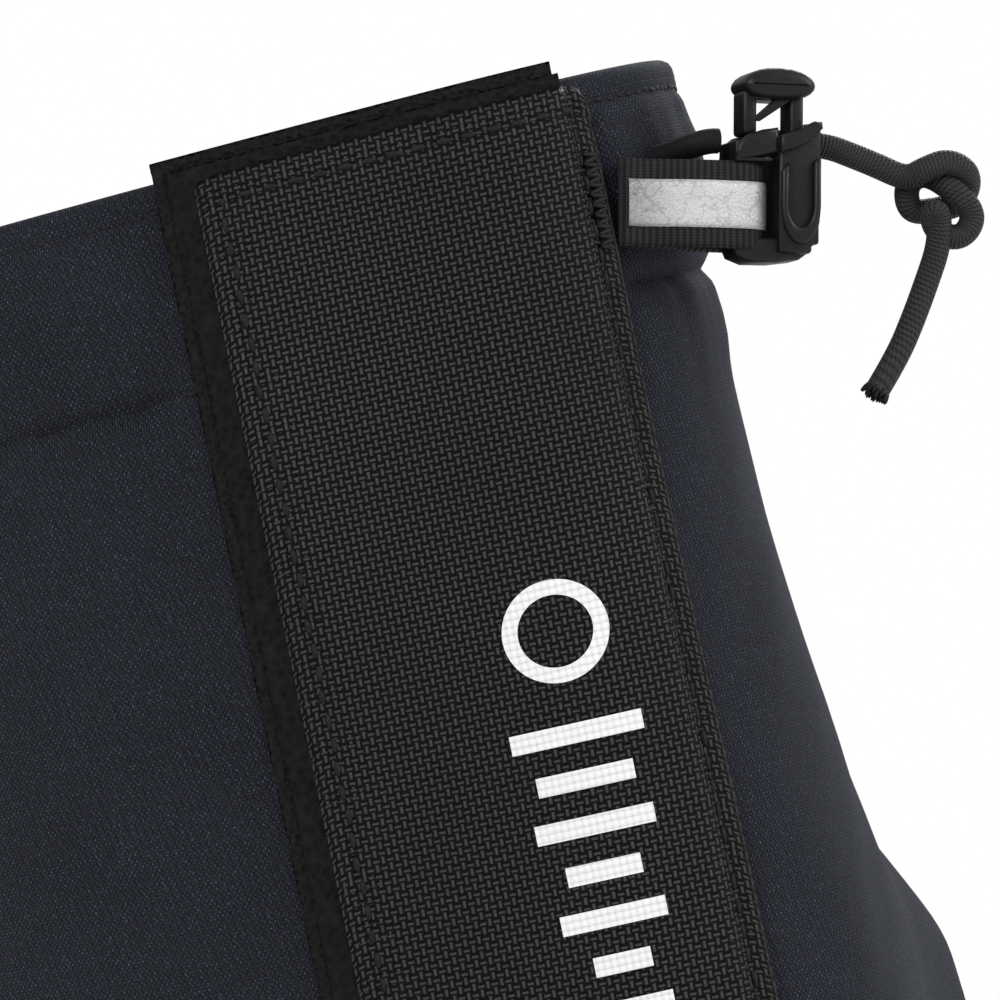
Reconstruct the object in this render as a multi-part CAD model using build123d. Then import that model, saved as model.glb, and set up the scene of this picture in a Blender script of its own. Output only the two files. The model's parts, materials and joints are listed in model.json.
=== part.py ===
from build123d import *
import bisect
import math
import os

# A knee-high mountaineering gaiter, standing upright. Millimetres, +Z up, the closure faces -Y and
# the cord lock and the strap buckle are on the wearer's outer side, +X. The origin is the middle of
# the boot opening, at the level of the underside of the instep strap.

# ---- driving dimensions -------------------------------------------------------------------------
HEIGHT = 435.0                 # bottom hem to top hem
WAIST_Z = 205.0                # seam between the lower and the upper panels
ANKLE_Z = 110.0                # narrowest height

FRONT_Y_BOTTOM = -78.0         # the straight closure line leans back from the boot to the knee
FRONT_Y_TOP = -52.0
FRONT_X_TOP = 4.5

# Half widths and half depths of the cross-section at each named height:
# (height share, outer half width, inner half width, front half depth, back half depth)
SECTIONS = [
    (0.00, 56.0, 56.0, 70.0, 72.0),
    (0.10, 51.0, 51.5, 61.0, 66.0),
    (0.25, 45.0, 46.0, 52.0, 58.0),
    (0.47, 45.5, 58.0, 50.0, 66.0),
    (0.72, 46.0, 74.0, 50.0, 72.0),
    (0.87, 38.5, 73.0, 48.0, 68.0),
    (1.00, 38.0, 70.0, 45.0, 60.0),
]
ROUNDNESS = 2.5                # exponent of the cross-section: 2 is an ellipse

SHELL_WALL = 1.0
SEAM_GAP = 0.3                 # between panels that meet edge to edge
LAYER_GAP = 0.4                # between cloth layers that lie on each other
LAYER_SKIN = 0.12              # between pieces sewn or pressed flat on each other

FLAP_WIDTH = 47.6              # of the shell under it, which makes 50 on the flap's own face
FLAP_WALL = 0.8
FLAP_BOTTOM_Z = 12.0
TAPE_BOTTOM_Z = 42.0           # the tapes stop above the lace hook's rivet
SEAM_STRIP_WIDTH = 3.2         # part of the flap that is sewn down
HINGE_GAP = 0.5

HOOK_TAPE_WALL = 1.2
LOOP_TAPE_WALL = 1.0
HOOK_TAPE_OVERHANG = 4.5       # how far the hook tape shows past the flap's free edge
LOOP_TAPE_OVERHANG = 3.0
HOOK_TAPE_RISE = 3.2           # tape tops above the flap's top edge
LOOP_TAPE_RISE = 1.6
FLAP_TOP_DROP = 1.0            # the flap's top edge below the shell's

SCUFF_LOW = 62.0
SCUFF_HIGH = 190.0
SCUFF_WALL = 0.8

CASING_DEPTH = 25.0
CORD_DIAMETER = 3.0
CASING_ROOM = CORD_DIAMETER + 0.7   # clear thickness of the drawcord tunnel
CORD_CLEARANCE = 0.25
EYELET_FROM_FLAP = 10.0
EYELET_BELOW_TOP = 10.5
EYELET_FLANGE_R = 4.0
EYELET_BORE_R = 2.1
EYELET_WALL = 0.5

TAB_WIDTH = 10.4
TAB_LENGTH = 17.6              # from the flap edge to the lock's bar
TAB_WALL = 1.0
TAB_BELOW_TOP = 15.0
TAB_DROOP = 13.0               # degrees below the horizontal
TAB_TURN = 12.0                # degrees round towards the back
TAB_LIFT = 1.8                 # middle of its thickness above the shell, where it leaves the seam
TAB_GAP = 1.5                  # between the flap's edge and the tab's end
REFLECTOR_WIDTH = 5.6
REFLECTOR_WALL = 0.3

LOCK_WIDTH = 10.5
LOCK_HEIGHT = TAB_WIDTH + 5.9    # the tab goes through the lower part, the cord over it
LOCK_DEPTH = 8.4
LOCK_BAR = 3.2                 # bar that the tab goes round
LOCK_BAR_DEPTH = 3.4
LOCK_BAR_ROUND = 1.45          # lets the bar turn inside the webbing
LOCK_SLOT = 2.2
LOCK_FLOOR = 0.95
LOCK_FIT = 0.1                 # plunger in its well, each side
CORD_LINE = TAB_WIDTH + 3.65    # height of the cord through the lock
PLUNGER_TRAVEL = 2.4
CAP_REST = 0.2                 # cap clear of the body when it is pressed home
CAP_THICKNESS = 3.8
CAP_WIDTH = 9.0
SPRING_R = 1.15
SPRING_WIRE = 0.35
SPRING_TURNS = 4

KNOT_SIZE = (7.8, 10.4, 6.6)
KNOT_TILT = -12.0
LEAD_START = 2.2               # the free cord starts this far out of the eyelet
LEAD_END = 1.2                 # and stops this far short of the lock

PIVOT_Z = 45.0                 # instep strap's rivets
RIVET_R = 2.0
RIVET_HEAD_R = 4.5
RIVET_HEAD_H = 1.6
RIVET_FIT = 0.08
RIVET_WASHER = 1.0
STRAP_WIDTH = 19.0
STRAP_WALL = 2.2
STRAP_CORNER_R = 9.0
STRAP_GAP = 2.6                # strap legs clear of the boot hem
ARCH_HEIGHT = 15.0             # cut in the hem for the strap
ARCH_HALF = 30.0
ARCH_RAMP = 14.0
PATCH_WALL = 1.0
PATCH_HALF = 12.0
LEG_BEND = 9.0                 # the strap's end is upright this far below its rivet
EAR_HALF = 7.0
STRAP_TAIL = 12.0              # strap end above the buckle's middle
BINDING_DEPTH = 8.0
BINDING_WALL = 0.75

BUCKLE_Z = 24.0
BUCKLE_LENGTH = 14.0
BUCKLE_GAP = 0.25
BUCKLE_SHEET = 1.0
BUCKLE_SIDE_GAP = 0.5
BUCKLE_PIN_R = 1.2
BUCKLE_PIN_OUT = 3.4           # pin axis beyond the strap's outer face
LEVER_FIT = 0.08
LEVER_BARREL_R = 2.2
LEVER_PLATE = 1.2
CAM_GAP = 0.35
LEVER_LENGTH = 13.0

HOOK_WIRE_R = 1.1
HOOK_THROAT = 6.0
HOOK_Z = 26.0
HOOK_WIDTH = 9.0
HOOK_PLATE = 0.8
HOOK_STAND = 0.5               # the flat plate stands on the curved patch
HOOK_DROP = 11.0


# ---- cross-section ------------------------------------------------------------------------------
def smooth_between(table, share, column):
    """Value of one column of a table of heights, on a smooth curve through its rows."""
    rows = [row[0] for row in table]
    right = min(max(bisect.bisect_right(rows, share), 1), len(rows) - 1)
    left = right - 1

    def slope(index):
        """Slope of the column at one row."""
        below, above = max(index - 1, 0), min(index + 1, len(table) - 1)
        return (table[above][column] - table[below][column]) / (rows[above] - rows[below])

    span = rows[right] - rows[left]
    part = min(max((share - rows[left]) / span, 0.0), 1.0)
    rise = part * part * (3 - 2 * part)
    start = table[left][column] * (1 - rise) + table[right][column] * rise
    leave = span * slope(left) * part * (1 - part) ** 2
    arrive = span * slope(right) * part * part * (1 - part)
    return start + leave - arrive


def outline(z):
    """The shell's outer outline at a height: points, running arc lengths and outward normals.

    It starts on the closure line and goes round by +X, the back and -X to where it began.
    """
    share = z / HEIGHT
    front_x = FRONT_X_TOP * share
    front_y = FRONT_Y_BOTTOM + (FRONT_Y_TOP - FRONT_Y_BOTTOM) * share
    outer, inner, front, back = (smooth_between(SECTIONS, share, column) for column in (1, 2, 3, 4))
    middle_y = front_y + front
    steps = 720
    points = []
    for step in range(steps + 1):
        angle = 2 * math.pi * step / steps - math.pi / 2
        cos_a, sin_a = math.cos(angle), math.sin(angle)
        half_x = outer if cos_a > 0 else inner
        half_y = back if sin_a > 0 else front
        radius = (abs(cos_a / half_x) ** ROUNDNESS + abs(sin_a / half_y) ** ROUNDNESS) ** (-1 / ROUNDNESS)
        points.append((front_x + radius * cos_a, middle_y + radius * sin_a))
    lengths = [0.0]
    for a, b in zip(points, points[1:]):
        lengths.append(lengths[-1] + math.dist(a, b))
    return points, lengths


OUTLINES = {}


def around(z):
    """Length round the shell at a height."""
    if z not in OUTLINES:
        OUTLINES[z] = outline(z)
    return OUTLINES[z][1][-1]


def spot(s, z, offset=0.0):
    """A point at arc length s from the closure line, moved outwards by the offset."""
    total = around(z)
    points, lengths = OUTLINES[z]
    turn = s % total
    index = min(bisect.bisect_right(lengths, turn), len(lengths) - 1)
    span = lengths[index] - lengths[index - 1]
    part = (turn - lengths[index - 1]) / span
    (ax, ay), (bx, by) = points[index - 1], points[index]
    x, y = ax + (bx - ax) * part, ay + (by - ay) * part
    normal = outward(s, z)
    return Vector(x + normal.X * offset, y + normal.Y * offset, z)


def outward(s, z):
    """Level outward normal of the shell at arc length s."""
    total = around(z)
    points, lengths = OUTLINES[z]
    reach = 3.0
    ends = []
    for turn in ((s - reach) % total, (s + reach) % total):
        index = min(bisect.bisect_right(lengths, turn), len(lengths) - 1)
        part = (turn - lengths[index - 1]) / (lengths[index] - lengths[index - 1])
        (ax, ay), (bx, by) = points[index - 1], points[index]
        ends.append((ax + (bx - ax) * part, ay + (by - ay) * part))
    along = Vector(ends[1][0] - ends[0][0], ends[1][1] - ends[0][1], 0).normalized()
    return Vector(along.Y, -along.X, 0)


def facing(s, z):
    """Outward normal of the shell, with the lean of its wall."""
    reach = 3.0
    share = s / around(z)
    rise = spot(share * around(z + reach), z + reach) - spot(share * around(z - reach), z - reach)
    level = outward(s, z)
    return Vector(-level.Y, level.X, 0).cross(rise).normalized()


def heights(low, high, step):
    """Even heights for a loft between two ends."""
    count = max(2, math.ceil((high - low) / step) + 1)
    return [low + (high - low) * i / (count - 1) for i in range(count)]


def band(start, end, low, high, inner, outer, step=15.0):
    """A curved sheet that follows the shell.

    start and end are arc lengths and inner and outer are offsets. Each is a number or a function of
    the height.
    """
    def at(value, z):
        """The value at a height."""
        return value(z) if callable(value) else value

    wires = []
    for z in heights(low, high, step):
        s0, s1 = at(start, z), at(end, z)
        count = max(4, round(abs(at(end, low) - at(start, low)) / 9.0))
        stations = [s0 + (s1 - s0) * i / count for i in range(count + 1)]
        out_points = [spot(s, z, at(outer, z)) for s in stations]
        in_points = [spot(s, z, at(inner, z)) for s in stations]
        wires.append(Wire([
            Spline(*out_points).edge(),
            Line(out_points[-1], in_points[-1]).edge(),
            Spline(*reversed(in_points)).edge(),
            Line(in_points[0], out_points[0]).edge(),
        ]))
    return Solid.make_loft(wires)


# ---- places worked out from the dimensions ------------------------------------------------------
FLAP_LEFT = -FLAP_WIDTH / 2
FLAP_RIGHT = FLAP_WIDTH / 2
FLAP_TOP = HEIGHT - FLAP_TOP_DROP
HINGE_S = FLAP_RIGHT - SEAM_STRIP_WIDTH - HINGE_GAP / 2
TAPE_RIGHT = HINGE_S - HINGE_GAP
HOOK_IN = 0.2
HOOK_OUT = HOOK_IN + HOOK_TAPE_WALL
LOOP_IN = HOOK_OUT + LAYER_GAP
LOOP_OUT = LOOP_IN + LOOP_TAPE_WALL
FLAP_IN = LOOP_OUT + 0.1
FLAP_OUT = FLAP_IN + FLAP_WALL
UNDERLAP_END = HINGE_S - 1.5
RIGHT_START = UNDERLAP_END + SEAM_GAP
EYELET_S = FLAP_RIGHT + EYELET_FROM_FLAP
EYELET_Z = HEIGHT - EYELET_BELOW_TOP


def back_seam(z):
    """Arc length of the seam down the back."""
    return around(z) * 0.5


def shell_end(z):
    """Arc length where the left panel ends under the flap."""
    return around(z) + UNDERLAP_END


# ---- shell panels -------------------------------------------------------------------------------
def arch_block(grow=0.0):
    """The notch cut in both sides of the hem for the instep strap, as a block through X."""
    half, top = ARCH_HALF + grow, ARCH_HEIGHT + grow
    foot = half + ARCH_RAMP
    side = make_face(Polyline((-foot, -1), (-half, top), (half, top), (foot, -1), (-foot, -1)))
    side = fillet(side.vertices().filter_by(lambda corner: corner.Y > 0), 6)
    return extrude(Plane.YZ * side, amount=SECTIONS[0][1] + SECTIONS[0][2], both=True)


def eyelet_plane():
    """Frame of the eyelet on the shell's outer face, z outwards."""
    return Plane(origin=spot(EYELET_S, EYELET_Z), z_dir=facing(EYELET_S, EYELET_Z))


def upper_outer_panel():
    """Softshell panel from the flap's sewn edge round the outer side to the back seam."""
    panel = band(RIGHT_START, lambda z: back_seam(z) - SEAM_GAP / 2, WAIST_Z + SEAM_GAP / 2, HEIGHT,
                 -SHELL_WALL, 0)
    hole = eyelet_plane() * Cylinder(EYELET_BORE_R + EYELET_WALL, 6 * SHELL_WALL)
    return panel - hole


def upper_inner_panel():
    """Softshell panel from the back seam round the inner side to its end under the flap."""
    return band(lambda z: back_seam(z) + SEAM_GAP / 2, shell_end, WAIST_Z + SEAM_GAP / 2, HEIGHT,
                -SHELL_WALL, 0)


def lower_outer_panel():
    """Lower panel on the outer side, with the hem cut away over the strap."""
    panel = band(RIGHT_START, lambda z: back_seam(z) - SEAM_GAP / 2, 0, WAIST_Z - SEAM_GAP / 2,
                 -SHELL_WALL, 0)
    return panel - arch_block()


def lower_inner_panel():
    """Lower panel on the inner side, with the hem cut away over the strap."""
    panel = band(lambda z: back_seam(z) + SEAM_GAP / 2, shell_end, 0, WAIST_Z - SEAM_GAP / 2,
                 -SHELL_WALL, 0)
    return panel - arch_block()


def scuff_patch():
    """Hard-wearing patch over the inner ankle, above the strap's patch."""
    return band(lambda z: around(z) * 0.60, lambda z: around(z) * 0.86, SCUFF_LOW, SCUFF_HIGH, LAYER_GAP,
                LAYER_GAP + SCUFF_WALL)


def waist_tape():
    """Tape inside, over the seam between the upper and the lower panels."""
    return band(RIGHT_START + 2, lambda z: shell_end(z) - 2, WAIST_Z - 8, WAIST_Z + 8,
                -SHELL_WALL - 0.7, -SHELL_WALL - LAYER_SKIN, step=8)


def casing_facing():
    """Inner wall of the drawcord tunnel, which leans out to the shell at its top and bottom."""
    low, high = HEIGHT - CASING_DEPTH, HEIGHT - 0.5
    lean = 4.0

    def outer(z):
        """Offset of its outer face at a height."""
        near = min(1.0, (z - low) / lean, (high - z) / lean)
        return -SHELL_WALL - 0.1 - (CASING_ROOM - 0.1) * near

    return band(RIGHT_START + 2, lambda z: shell_end(z) - 2, low, high,
                lambda z: outer(z) - 0.8, outer, step=4)


def ankle_elastic():
    """Elastic sewn inside the back of the ankle."""
    return band(lambda z: around(z) * 0.28, lambda z: around(z) * 0.76, ANKLE_Z - 10, ANKLE_Z + 10,
                -SHELL_WALL - 1.4, -SHELL_WALL - LAYER_SKIN, step=10)


def hem_binding():
    """Binding round the bottom hem and over the strap's arches, outside the shell."""
    ring = band(FLAP_RIGHT + 1, lambda z: around(z) + FLAP_LEFT - 7, 0, ARCH_HEIGHT + BINDING_DEPTH,
                LAYER_SKIN, BINDING_WALL, step=6)
    reach = 4 * SECTIONS[0][1]
    keep = Pos(0, 0, BINDING_DEPTH / 2) * Box(reach, reach, BINDING_DEPTH)
    return (ring & (keep + arch_block(BINDING_DEPTH))) - arch_block()


# ---- closure ------------------------------------------------------------------------------------
def hook_tape():
    """Hook tape sewn on the inner panel's front edge."""
    return band(FLAP_LEFT - HOOK_TAPE_OVERHANG, TAPE_RIGHT, TAPE_BOTTOM_Z, FLAP_TOP + HOOK_TAPE_RISE,
                HOOK_IN, HOOK_OUT)


def loop_tape():
    """Loop tape on the back of the flap."""
    return band(FLAP_LEFT - LOOP_TAPE_OVERHANG, TAPE_RIGHT, TAPE_BOTTOM_Z, FLAP_TOP + LOOP_TAPE_RISE,
                LOOP_IN, LOOP_OUT)


def flap_panel():
    """Free part of the flap, from its open edge to the fold."""
    return band(FLAP_LEFT, HINGE_S - HINGE_GAP / 2, FLAP_BOTTOM_Z, FLAP_TOP, FLAP_IN, FLAP_OUT)


def flap_seam_strip():
    """The flap's sewn edge: its allowance fills the step down to the shell."""
    return band(HINGE_S + HINGE_GAP / 2, FLAP_RIGHT, FLAP_BOTTOM_Z, FLAP_TOP, LAYER_SKIN, FLAP_OUT)


# ---- tab and cord lock --------------------------------------------------------------------------
def tab_plane():
    """Frame of the tab: x along it, y across it (up), z outwards, origin at its sewn end's middle."""
    root_z = HEIGHT - TAB_BELOW_TOP
    root = spot(FLAP_RIGHT + TAB_GAP, root_z, TAB_LIFT)
    turn, droop = math.radians(TAB_TURN), math.radians(TAB_DROOP)
    along = (math.cos(turn) * math.cos(droop), math.sin(turn) * math.cos(droop), -math.sin(droop))
    return Plane(origin=root, x_dir=along, z_dir=(math.sin(turn), -math.cos(turn), 0))


TAB_LOW = -TAB_WIDTH / 2
LOCK_LEFT = TAB_LENGTH - TAB_WALL - 0.2 - LOCK_BAR
LOCK_BOTTOM = TAB_LOW - LOCK_FLOOR - 0.15


def lock_plane():
    """Frame of the lock: origin at its lower left corner, in the middle of its depth."""
    frame = tab_plane()
    return Plane(origin=frame.from_local_coords((LOCK_LEFT, LOCK_BOTTOM, 0)), x_dir=frame.x_dir,
                 z_dir=frame.z_dir)


def lock_point(across, up, out=0.0):
    """A point given in the lock's own frame."""
    return lock_plane().from_local_coords((across, up, out))


def side_profile(plane, points, low, high):
    """A closed outline in the tab's across-and-out plane, pulled along the tab's width."""
    corners = [plane.from_local_coords((x, low, out)) for x, out in points]
    face = Face(Wire.make_polygon(corners, close=True))
    return Solid.extrude(face, plane.y_dir * (high - low))


def webbing_tab():
    """Grosgrain doubled round the lock's bar: two legs that meet at the sewn end."""
    gap = 0.2
    bar = LOCK_BAR_DEPTH / 2 + gap
    near = LOCK_LEFT - 2.5
    far = LOCK_LEFT + LOCK_BAR + gap
    out = bar + TAB_WALL
    outer = [(0, TAB_WALL), (near, out), (far, out), (far + TAB_WALL, bar), (far + TAB_WALL, -bar),
             (far, -out), (near, -out), (0, -TAB_WALL)]
    inner = [(2.6, 0), (near + 0.6, bar), (far, bar), (far, -bar), (near + 0.6, -bar)]
    frame = tab_plane()
    loop = side_profile(frame, outer, TAB_LOW, -TAB_LOW)
    hollow = side_profile(frame, inner, TAB_LOW - 1, 1 - TAB_LOW)
    return loop - hollow


def reflective_strip():
    """Reflective tape sewn along the middle of the tab's front leg."""
    face = LOCK_BAR_DEPTH / 2 + 0.2 + TAB_WALL + 0.02
    near, far = LOCK_LEFT - 2.5, LOCK_LEFT + LOCK_BAR
    start = 0.6
    low = TAB_WALL + 0.02 + (face - TAB_WALL) * start / near
    points = [(start, low), (near, face), (far, face), (far, face + REFLECTOR_WALL),
              (near, face + REFLECTOR_WALL), (start, low + REFLECTOR_WALL)]
    return side_profile(tab_plane(), points, -REFLECTOR_WIDTH / 2, REFLECTOR_WIDTH / 2)


def tab_bartack():
    """Dense bar of thread that holds the tab to the flap's edge, on the seam strip."""
    middle = HEIGHT - TAB_BELOW_TOP
    return band(FLAP_RIGHT - 2.9, FLAP_RIGHT - 0.5, middle - 5.8, middle + 5.2, FLAP_OUT + 0.02,
                FLAP_OUT + 0.45, step=6)


WELL_LEFT = 0.9
WELL_RIGHT = LOCK_WIDTH - 1.5
WELL_DEPTH = 5.3
SLOT_TOP = LOCK_FLOOR + TAB_WIDTH + 0.3
WELL_FLOOR = SLOT_TOP + 0.6
LEG_LEFT = LOCK_BAR + LOCK_SLOT + 0.75
LEG_END = 6.2
SPRING_FLOOR = 1.7
PLUNGER_TOP = LOCK_HEIGHT + PLUNGER_TRAVEL + CAP_REST + CAP_THICKNESS


def lock_body():
    """Cord lock body: collar, barrel, tab bar and floor, with the plunger's stepped well."""
    frame = lock_plane()
    radius = 1.2

    def block(x0, x1, y0, y1, depth):
        """A block between two corners, with its upright edges rounded."""
        shape = Box(x1 - x0, y1 - y0, depth)
        shape = fillet(shape.edges().filter_by(Axis.Y), min(radius, depth / 3, (x1 - x0) / 3))
        return Pos((x0 + x1) / 2, (y0 + y1) / 2, 0) * shape

    barrel_left = LOCK_BAR + LOCK_SLOT
    body = block(0, LOCK_WIDTH, SLOT_TOP, LOCK_HEIGHT, LOCK_DEPTH)
    body += block(barrel_left, LOCK_WIDTH, 0, SLOT_TOP + 1, LOCK_DEPTH)
    bar = Box(LOCK_BAR, SLOT_TOP + 1, LOCK_BAR_DEPTH)
    bar = fillet(bar.edges().filter_by(Axis.Y), LOCK_BAR_ROUND)
    body += Pos(LOCK_BAR / 2, (SLOT_TOP + 1) / 2, 0) * bar
    body += Pos(LOCK_WIDTH / 3, LOCK_FLOOR / 2, 0) * Box(LOCK_WIDTH * 2 / 3, LOCK_FLOOR, LOCK_BAR_DEPTH)
    well_top = LOCK_HEIGHT + 1
    body -= Pos((WELL_LEFT + WELL_RIGHT) / 2, (WELL_FLOOR + well_top) / 2, 0) * Box(
        WELL_RIGHT - WELL_LEFT, well_top - WELL_FLOOR, WELL_DEPTH)
    body -= Pos((LEG_LEFT + WELL_RIGHT) / 2, (SPRING_FLOOR + well_top) / 2, 0) * Box(
        WELL_RIGHT - LEG_LEFT, well_top - SPRING_FLOOR, WELL_DEPTH)
    body -= Pos(LOCK_WIDTH / 2, CORD_LINE, 0) * Rot(0, 90, 0) * Cylinder(
        CORD_DIAMETER / 2 + CORD_CLEARANCE, LOCK_WIDTH + 2)
    return frame * body


def lock_plunger():
    """Plunger: domed cap, stem that straddles the cord, and the leg down to the spring."""
    left, right = WELL_LEFT + LOCK_FIT, WELL_RIGHT - LOCK_FIT
    depth = WELL_DEPTH - 2 * LOCK_FIT
    cap_low = PLUNGER_TOP - CAP_THICKNESS
    stem_low = WELL_FLOOR + PLUNGER_TRAVEL + 0.1
    cord_room = CORD_DIAMETER + 2 * CORD_CLEARANCE
    with BuildSketch() as cap_side:
        with BuildLine():
            ThreePointArc((0, cap_low), (CAP_WIDTH * 0.42, PLUNGER_TOP), (CAP_WIDTH, cap_low + 1.0))
            Line((CAP_WIDTH, cap_low + 1.0), (CAP_WIDTH, cap_low))
            Line((CAP_WIDTH, cap_low), (0, cap_low))
        make_face()
    cap = extrude(cap_side.sketch, amount=LOCK_DEPTH / 2, both=True)
    stem = Pos((left + right) / 2, (stem_low + cap_low) / 2 + 0.25, 0) * Box(
        right - left, cap_low - stem_low + 0.5, depth)
    leg = Pos((LEG_LEFT + LOCK_FIT + right) / 2, (LEG_END + stem_low + 1) / 2, 0) * Box(
        right - LEG_LEFT - LOCK_FIT, stem_low + 1 - LEG_END, depth)
    plunger = cap + stem + leg
    room_low = CORD_LINE - cord_room / 2
    room_high = CORD_LINE + cord_room / 2 + PLUNGER_TRAVEL
    plunger -= Pos((left + right) / 2, (room_low + room_high) / 2, 0) * Box(
        right - left + 2, room_high - room_low, cord_room)
    window_low, window_high = CORD_LINE + cord_room / 2, cap_low - 0.9
    plunger -= Pos(LOCK_WIDTH * 0.48, (window_low + window_high) / 2, 0) * Box(
        2.0, window_high - window_low, depth + 2)
    return lock_plane() * plunger


def lock_spring():
    """Coil spring under the plunger's leg."""
    low = SPRING_FLOOR + SPRING_WIRE / 2 + 0.03
    high = LEG_END - SPRING_WIRE / 2 - 0.03
    centre_x = (LEG_LEFT + WELL_RIGHT) / 2
    path = Helix(pitch=(high - low) / SPRING_TURNS, height=high - low, radius=SPRING_R)
    start = Plane(origin=path @ 0, z_dir=path % 0)
    coil = sweep(start * Circle(SPRING_WIRE / 2), path=path)
    return lock_plane() * Pos(centre_x, low, 0) * Rot(-90, 0, 0) * coil


# ---- drawcord -----------------------------------------------------------------------------------
def corner_radii(points):
    """Arc radius at each inner point of a route: 0.45 of the shorter run over tan(half the turn)."""
    radii = []
    for before, here, after in zip(points, points[1:], points[2:]):
        run_in, run_out = here - before, after - here
        turn = math.radians(run_in.get_angle(run_out))
        radii.append(0.45 * min(run_in.length, run_out.length) / math.tan(turn / 2))
    return radii


def cord_tube(name, points):
    """Round cord along straight runs joined by tangent arcs. Returns the solid and its length."""
    radii = corner_radii(points)
    wire = FilletPolyline(*points, radius=radii).wire()
    section = Plane(origin=wire @ 0, z_dir=wire % 0) * Circle(CORD_DIAMETER / 2)
    tube = sweep(section, path=wire)
    expected = math.pi * (CORD_DIAMETER / 2) ** 2 * wire.length
    print(f"{name}: length {wire.length:.1f}, radii {[round(r, 1) for r in radii]}, "
          f"volume {tube.volume / expected:.4f} of section times length")
    return tube


def strand_route():
    """From the lock's left face, through it and out to the knot."""
    return [lock_point(-0.2, CORD_LINE), lock_point(10.7, CORD_LINE), lock_point(15.2, 13.0, 0.3),
            lock_point(20.9, 10.6, 0.2)]


KNOT_CENTRE = (24.2, 6.9, 0.0)


def tail_route():
    """From the knot down to the cut end."""
    return [lock_point(23.4, 2.6, 0.2), lock_point(22.8, -1.6, 0.3), lock_point(21.4, -6.4, 0.0),
            lock_point(19.6, -11.0, -0.3), lock_point(16.9, -15.6, -0.3)]


def drawcord_strand():
    """Free cord through the lock to the knot."""
    return cord_tube("drawcord_strand", strand_route())


def drawcord_tail():
    """Free cord below the knot."""
    return cord_tube("drawcord_tail", tail_route())


def drawcord_lead():
    """Short free run behind the tab, from the eyelet up to the lock's left side."""
    start = spot(EYELET_S, EYELET_Z, LEAD_START)
    end = lock_point(-LEAD_END, CORD_LINE)
    away = outward(EYELET_S, EYELET_Z)
    bend = Spline(start, end, tangents=[away, lock_plane().x_dir]).edge()
    wire = Wire([bend])
    return sweep(Plane(origin=wire @ 0, z_dir=wire % 0) * Circle(CORD_DIAMETER / 2), path=wire)


def drawcord_knot():
    """Outer shape of the overhand knot."""
    shape = scale(Sphere(0.5), by=KNOT_SIZE)
    return lock_plane() * Pos(*KNOT_CENTRE) * Rot(0, 0, KNOT_TILT) * shape


def drawcord_ring():
    """The drawcord's held run: in through the eyelet and round the tunnel to its sewn end."""
    away = outward(EYELET_S, EYELET_Z)
    along = Vector(-away.Y, away.X, 0)
    depth = SHELL_WALL + CASING_ROOM / 2
    mouth = spot(EYELET_S, EYELET_Z)
    eighth = math.pi / 4
    middle = mouth + along * depth * (1 - math.cos(eighth)) - away * depth * math.sin(eighth)
    inside = mouth + along * depth - away * depth
    first, last = EYELET_S + 12, around(EYELET_Z) + FLAP_LEFT - 6
    count = 26
    stations = [first + (last - first) * i / count for i in range(count + 1)]
    points = [spot(s, EYELET_Z, -depth) for s in stations]
    end = points[-1] - points[-2]
    wire = Wire([
        Line(spot(EYELET_S, EYELET_Z, LEAD_START), mouth).edge(),
        ThreePointArc(mouth, middle, inside).edge(),
        Spline(inside, *points, tangents=[along, end.normalized()]).edge(),
    ])
    return sweep(Plane(origin=wire @ 0, z_dir=wire % 0) * Circle(CORD_DIAMETER / 2), path=wire)


def eyelet():
    """Rolled eyelet: outer flange and the barrel through the shell."""
    flange = Pos(0, 0, EYELET_WALL / 2 + 0.05) * Cylinder(EYELET_FLANGE_R, EYELET_WALL)
    depth = SHELL_WALL + 0.1
    barrel_radius = EYELET_BORE_R + EYELET_WALL - 0.1
    barrel = Pos(0, 0, (EYELET_WALL - depth) / 2) * Cylinder(barrel_radius, depth + EYELET_WALL)
    ring = flange + barrel - Cylinder(EYELET_BORE_R, 10)
    return eyelet_plane() * ring


# ---- instep strap and buckle --------------------------------------------------------------------
def side_station(sign, z):
    """Arc length where the shell crosses y = 0 on its outer (+1) or inner (-1) side."""
    total = around(z)
    low, high = (0.05, 0.45) if sign > 0 else (0.95, 0.55)
    for _ in range(40):
        middle = (low + high) / 2
        if spot(middle * total, z).Y < 0:
            low = middle
        else:
            high = middle
    return low * total


def side_x(sign, z):
    """Distance of the shell's side from the middle plane at y = 0."""
    return abs(spot(side_station(sign, z), z).X)


def leg_line(sign):
    """Inner face of what hangs from a rivet, as (distance from the middle, height) points."""
    top = side_x(sign, PIVOT_Z) + STRAP_GAP
    low = max(side_x(sign, ARCH_HEIGHT) + STRAP_GAP, top)
    return Vector(low, 0, ARCH_HEIGHT), Vector(top, 0, PIVOT_Z - LEG_BEND), Vector(top, 0, PIVOT_Z)


def leg_frame():
    """Frame on the buckle's sheet: x up the leg, z outwards, origin in the buckle's middle."""
    low, bend, _ = leg_line(1)
    up = (bend - low).normalized()
    out = Vector(up.Z, 0, -up.X)
    middle = low + up * ((BUCKLE_Z - low.Z) / up.Z) + out * (BUCKLE_SHEET / 2)
    return Plane(origin=middle, x_dir=up, z_dir=out)


STRAP_LINE = BUCKLE_SHEET / 2 + BUCKLE_GAP + STRAP_WALL / 2
PIN_LINE = STRAP_LINE + STRAP_WALL / 2 + BUCKLE_PIN_OUT
CHEEK_INSIDE = STRAP_WIDTH / 2 + BUCKLE_SIDE_GAP


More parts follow.
